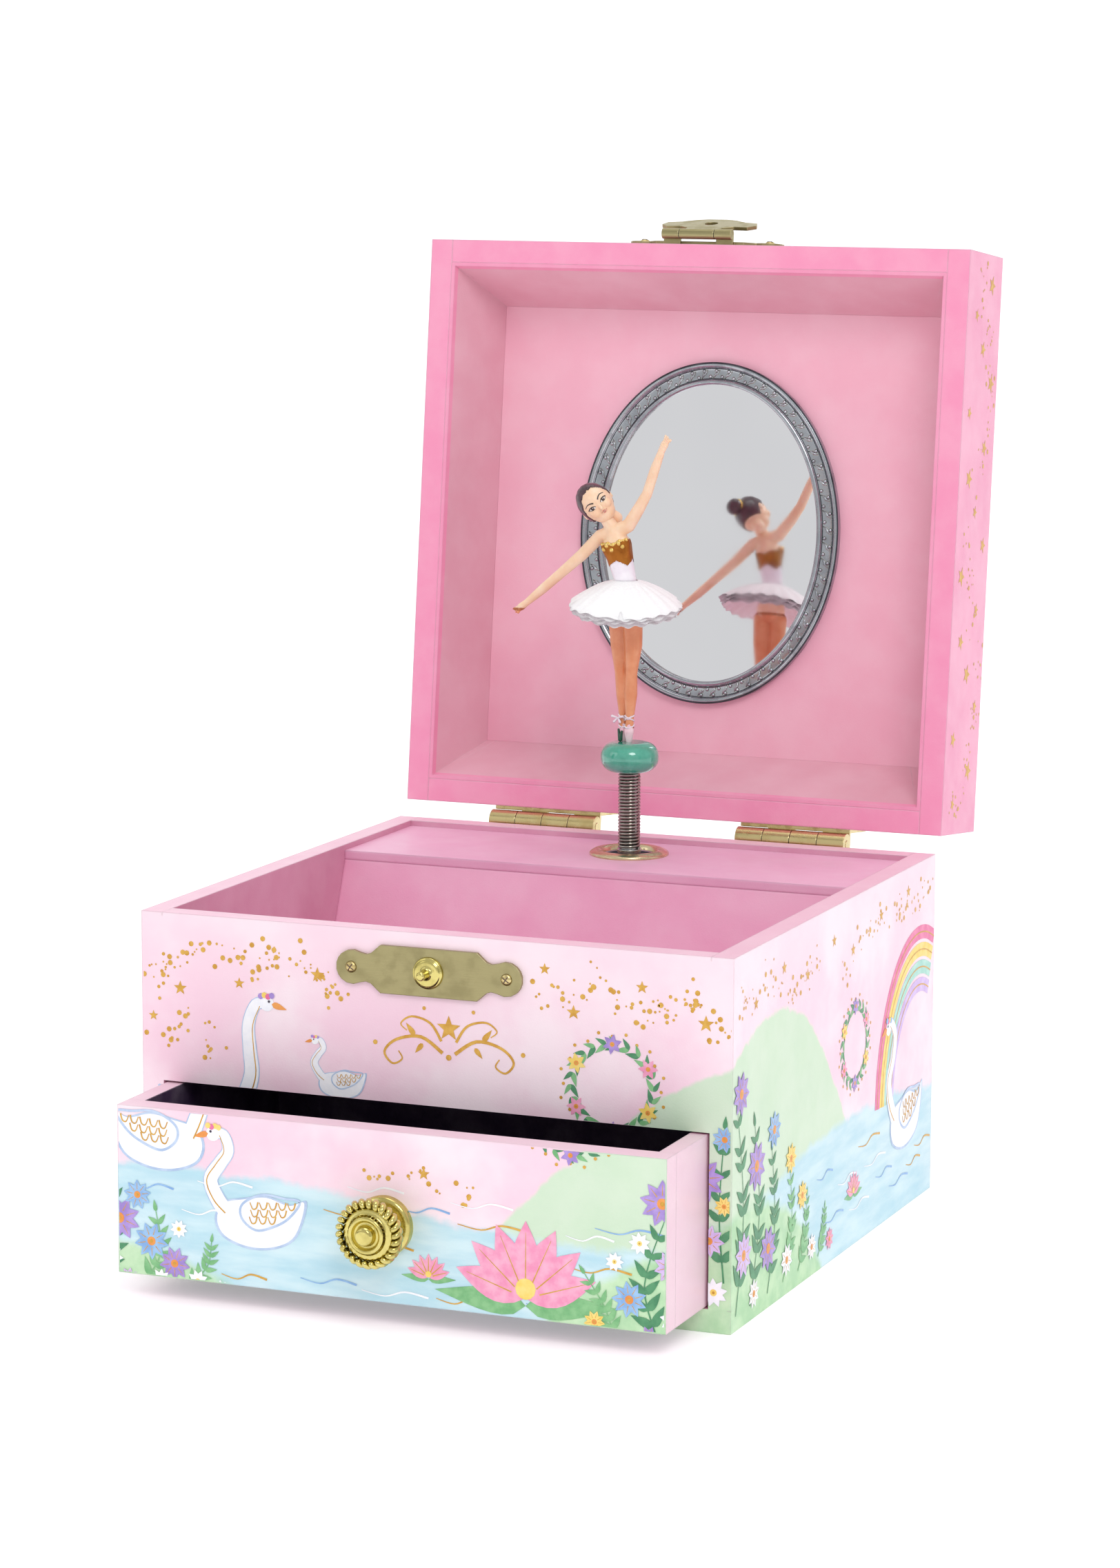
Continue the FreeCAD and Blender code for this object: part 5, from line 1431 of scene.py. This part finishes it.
dress(["bottom_board", "left_side", "right_side", "front_panel", "back_panel"], card)
dress(["rear_partition"], lining_paper("partition_paper", "dc9fb8", "e4adc4"))
dress(["tray_floor"], flock("tray_flock", "d98fb0", "e8aac6"))
dress(["movement_shelf"], lining_paper("shelf_paper", "eeb4d0", "e8abc9"))
dress(["movement_cover"], lining_paper("cover_paper", "eba2c2", "f0b0cc"))
dress(["lid_top", "lid_left_wall", "lid_right_wall", "lid_front_wall", "lid_back_wall"], lid_card)
dress(["lid_liner"], liner_paper())
dress(["lid_floor_panel"], lining_paper("lid_floor_paper", "f2b4c6", "efadc1"))
dress(["drawer_front", "drawer_left_side", "drawer_right_side", "drawer_back", "drawer_bottom"], drawer_card)
# Velvet on the drawer's floor, painted dark plum as the shade inside the drawer.
dress(["drawer_floor_lining"], flock("drawer_flock", "2a1836", "3f2a50"))
dress(["latch_plate", "hasp_plate", "hasp_tongue", "hasp_pin"], dull_brass)
dress(["base_hinge_leaves", "lid_hinge_leaves", "hinge_pins", "drawer_knob_screw"], pale_brass)
ferrule_plate = metal("champagne_ferrule", "dccaa4", "b5a07c", 0.18, 0.36, 0.005)
dress(["spring_ferrule"], ferrule_plate)
dress(["pinned_cylinder", "cylinder_pinion", "cylinder_gear", "spring_barrel", "governor_wheel"], movement_brass)
dress(["winding_key"], pale_brass)
dress(["comb", "spindle", "mainspring", "governor_fan", "winding_arbor", "comb_screws", "movement_screws"],
      bright_steel)
dress(["movement_bedplate", "barrel_bridge", "top_bridge", "governor_bracket"], casting)
dress(["mirror_glass"], mirror_glass())
dress(["figure_bead"], plastic("teal_bead", "3fa58a", "58b89d", 0.12, 1.0, 0.005, 0.1))

INKS = {
    "white": ink("white", "fdfcff", "f1f2fa"), "swan_shade": ink("swan_shade", "a9bfe0", "c6d6ee"),
    "purple": ink("purple", "9a7fc8", "b79ade"), "lilac": ink("lilac", "c9a9e2", "dcc4ee"),
    "blue": ink("blue", "7fa9de", "9cc3ea"), "yellow": ink("yellow", "f3cf5a", "f8de86"),
    "orange": ink("orange", "e58a3c", "efa04e"), "green": ink("green", "6cae72", "8cc48a"),
    "dark_green": ink("dark_green", "3c8158", "55986a"), "pink": ink("pink", "ee8fb6", "f6b1cc"),
    "pale_pink": ink("pale_pink", "f8c3d8", "fbd7e5"), "deep_pink": ink("deep_pink", "e2649a", "ee83ae"),
    "mint": ink("mint", "9bd3c6", "b8e2d6"), "dark": ink("dark", "33283a", "463a50"), "gold": foil(),
}
LOOKS = {
    "skin": plastic("skin_paint", "f0c9a6", "f5d7ba", 0.42, 0.15, 0.008, 0.25),
    "tights": plastic("tights_paint", "dd8f5e", "e7a274", 0.36, 0.25, 0.008, 0.2),
    "satin": plastic("satin_paint", "f4eef4", "e9dfe9", 0.3, 0.4, 0.01),
    "shoes": plastic("shoe_paint", "f3c2cf", "f9dfe4", 0.28, 0.4, 0.01),
    "bodice": metal("bodice_paint", "a9692c", "6e3d14", 0.42, 0.62, 0.06),
    "gold": metal("gold_paint", "e9c873", "c89b45", 0.24, 0.42, 0.03),
    "leaf": plastic("leaf_paint", "1d4a38", "2c6149", 0.3, 0.4, 0.02),
    "hair": plastic("hair_paint", "3b2129", "52303a", 0.34, 0.35, 0.05),
    # Paint for the eye whites, also used for the painted highlight dot on each iris.
    "eye_white": plastic("eye_white_and_highlight_paint", "fbf7f2", "f3ece6", 0.25, 0.5),
    "iris": plastic("iris_paint", "4a2f24", "5c3c2e", 0.2, 0.8),
    "line": plastic("line_paint", "2c1a1c", "3b2526", 0.4, 0.2),
    "lip": plastic("lip_paint", "c8434d", "d8616a", 0.32, 0.4),
    "lip_dark": plastic("lip_dark_paint", "8c2733", "9c3340", 0.4, 0.2),
}

artwork = Artwork()
draw_front(artwork)
draw_side(artwork, "right")
draw_side(artwork, "left")
draw_back_and_lid(artwork)
print_art(artwork, INKS)
make_knob(bright_brass)
make_stud(bright_brass)
make_all_screws(pale_brass)
make_mirror_frame(silver, tarnish_and_shade)
make_ferrule(ferrule_plate, tarnish_and_shade)
make_spring(spring_steel)
make_body(LOOKS)
make_head(LOOKS)
make_tutu(net())


# ---------------------------------------------------------------- floor, light and camera

def floor():
    surface = Surface("floor", 0.75)
    surface.colour(surface.mix(surface.noise(60, 3), rgb("f7f7f7"), rgb("f1f1f2")))
    surface.bump(surface.noise(1.5, 4), 0.02)
    surface.set(Emission_Color=(1, 1, 1, 1), Emission_Strength=0.3)
    depth = 3000
    steps = 24
    profile = [(-depth, 0.0), (700, 0.0)]
    for step in range(1, steps + 1):
        bend = math.pi / 2 * step / steps
        profile.append((700 + 900 * math.sin(bend), 900 - 900 * math.cos(bend)))
    profile.append((1600, 4000))
    points = [(side * depth, y, z) for y, z in profile for side in (-1, 1)]
    backdrop = make_piece("backdrop", points, grid_faces(len(profile), 2, False, False), surface.material)


def area_light(name, place, target, size, power):
    light = bpy.data.lights.new(name, "AREA")
    light.shape = "DISK"
    light.size = size
    light.energy = power
    lamp = bpy.data.objects.new(name, light)
    lamp.location = place
    lamp.rotation_euler = (Vector(target) - Vector(place)).to_track_quat("-Z", "Y").to_euler()
    bpy.context.scene.collection.objects.link(lamp)


def dark_cards():
    """Dark boards out of view, which the polished metal reflects."""
    surface = Surface("dark_card", 0.9)
    surface.colour(surface.mix(surface.noise(80, 2), rgb("1c1c1e"), rgb("26262a")))
    for index, (x, y, z, width, tall) in enumerate(((-1050, -850, 300, 300, 900), (950, -500, 250, 220, 700),
                                                    (-450, -500, 900, 900, 160))):
        points = [(x - width / 2, y, z - tall / 2), (x + width / 2, y, z - tall / 2),
                  (x + width / 2, y, z + tall / 2), (x - width / 2, y, z + tall / 2)]
        board = make_piece(f"dark_card_{index}", points, [(0, 1, 2, 3)], surface.material, smooth=False)
        board.visible_camera = False


LENS = 103.57  # on a sensor 36 mm tall
CAMERA_TURNS = (0.387766, 0.157042, 0.003652)  # yaw, pitch and roll, in radians
CAMERA_PLACE = Vector((0.34664, -0.845, 0.23785))


def camera():
    data = bpy.data.cameras.new("photo_camera")
    data.sensor_fit = "VERTICAL"
    data.sensor_height = 36
    data.lens = LENS
    eye = bpy.data.objects.new("photo_camera", data)
    yaw, pitch, roll = CAMERA_TURNS
    forward = Vector((-math.sin(yaw) * math.cos(pitch), math.cos(yaw) * math.cos(pitch), -math.sin(pitch)))
    right = Vector((math.cos(yaw), math.sin(yaw), 0))
    up = right.cross(forward)
    level_right = right * math.cos(roll) + up * math.sin(roll)
    level_up = up * math.cos(roll) - right * math.sin(roll)
    eye.matrix_world = Matrix((
        (level_right.x, level_up.x, -forward.x, CAMERA_PLACE.x),
        (level_right.y, level_up.y, -forward.y, CAMERA_PLACE.y),
        (level_right.z, level_up.z, -forward.z, CAMERA_PLACE.z),
        (0, 0, 0, 1),
    ))
    bpy.context.scene.collection.objects.link(eye)
    bpy.context.scene.camera = eye


floor()
dark_cards()
world = bpy.data.worlds.new("soft_studio")
world.use_nodes = True
sky = world.node_tree.nodes["Background"]
sky.inputs["Color"].default_value = (0.98, 0.985, 1, 1)
sky.inputs["Strength"].default_value = 0.72
bpy.context.scene.world = world
area_light("key_light", (0.75, -1.1, 1.25), (0, 0, 0.08), 0.7, 8)
area_light("fill_light", (-1.2, -0.9, 0.8), (0, 0, 0.1), 1.0, 2)
area_light("top_light", (0, 0.1, 1.6), (0, 0, 0.1), 0.8, 3.5)
camera()
bpy.context.scene.view_settings.view_transform = "Standard"
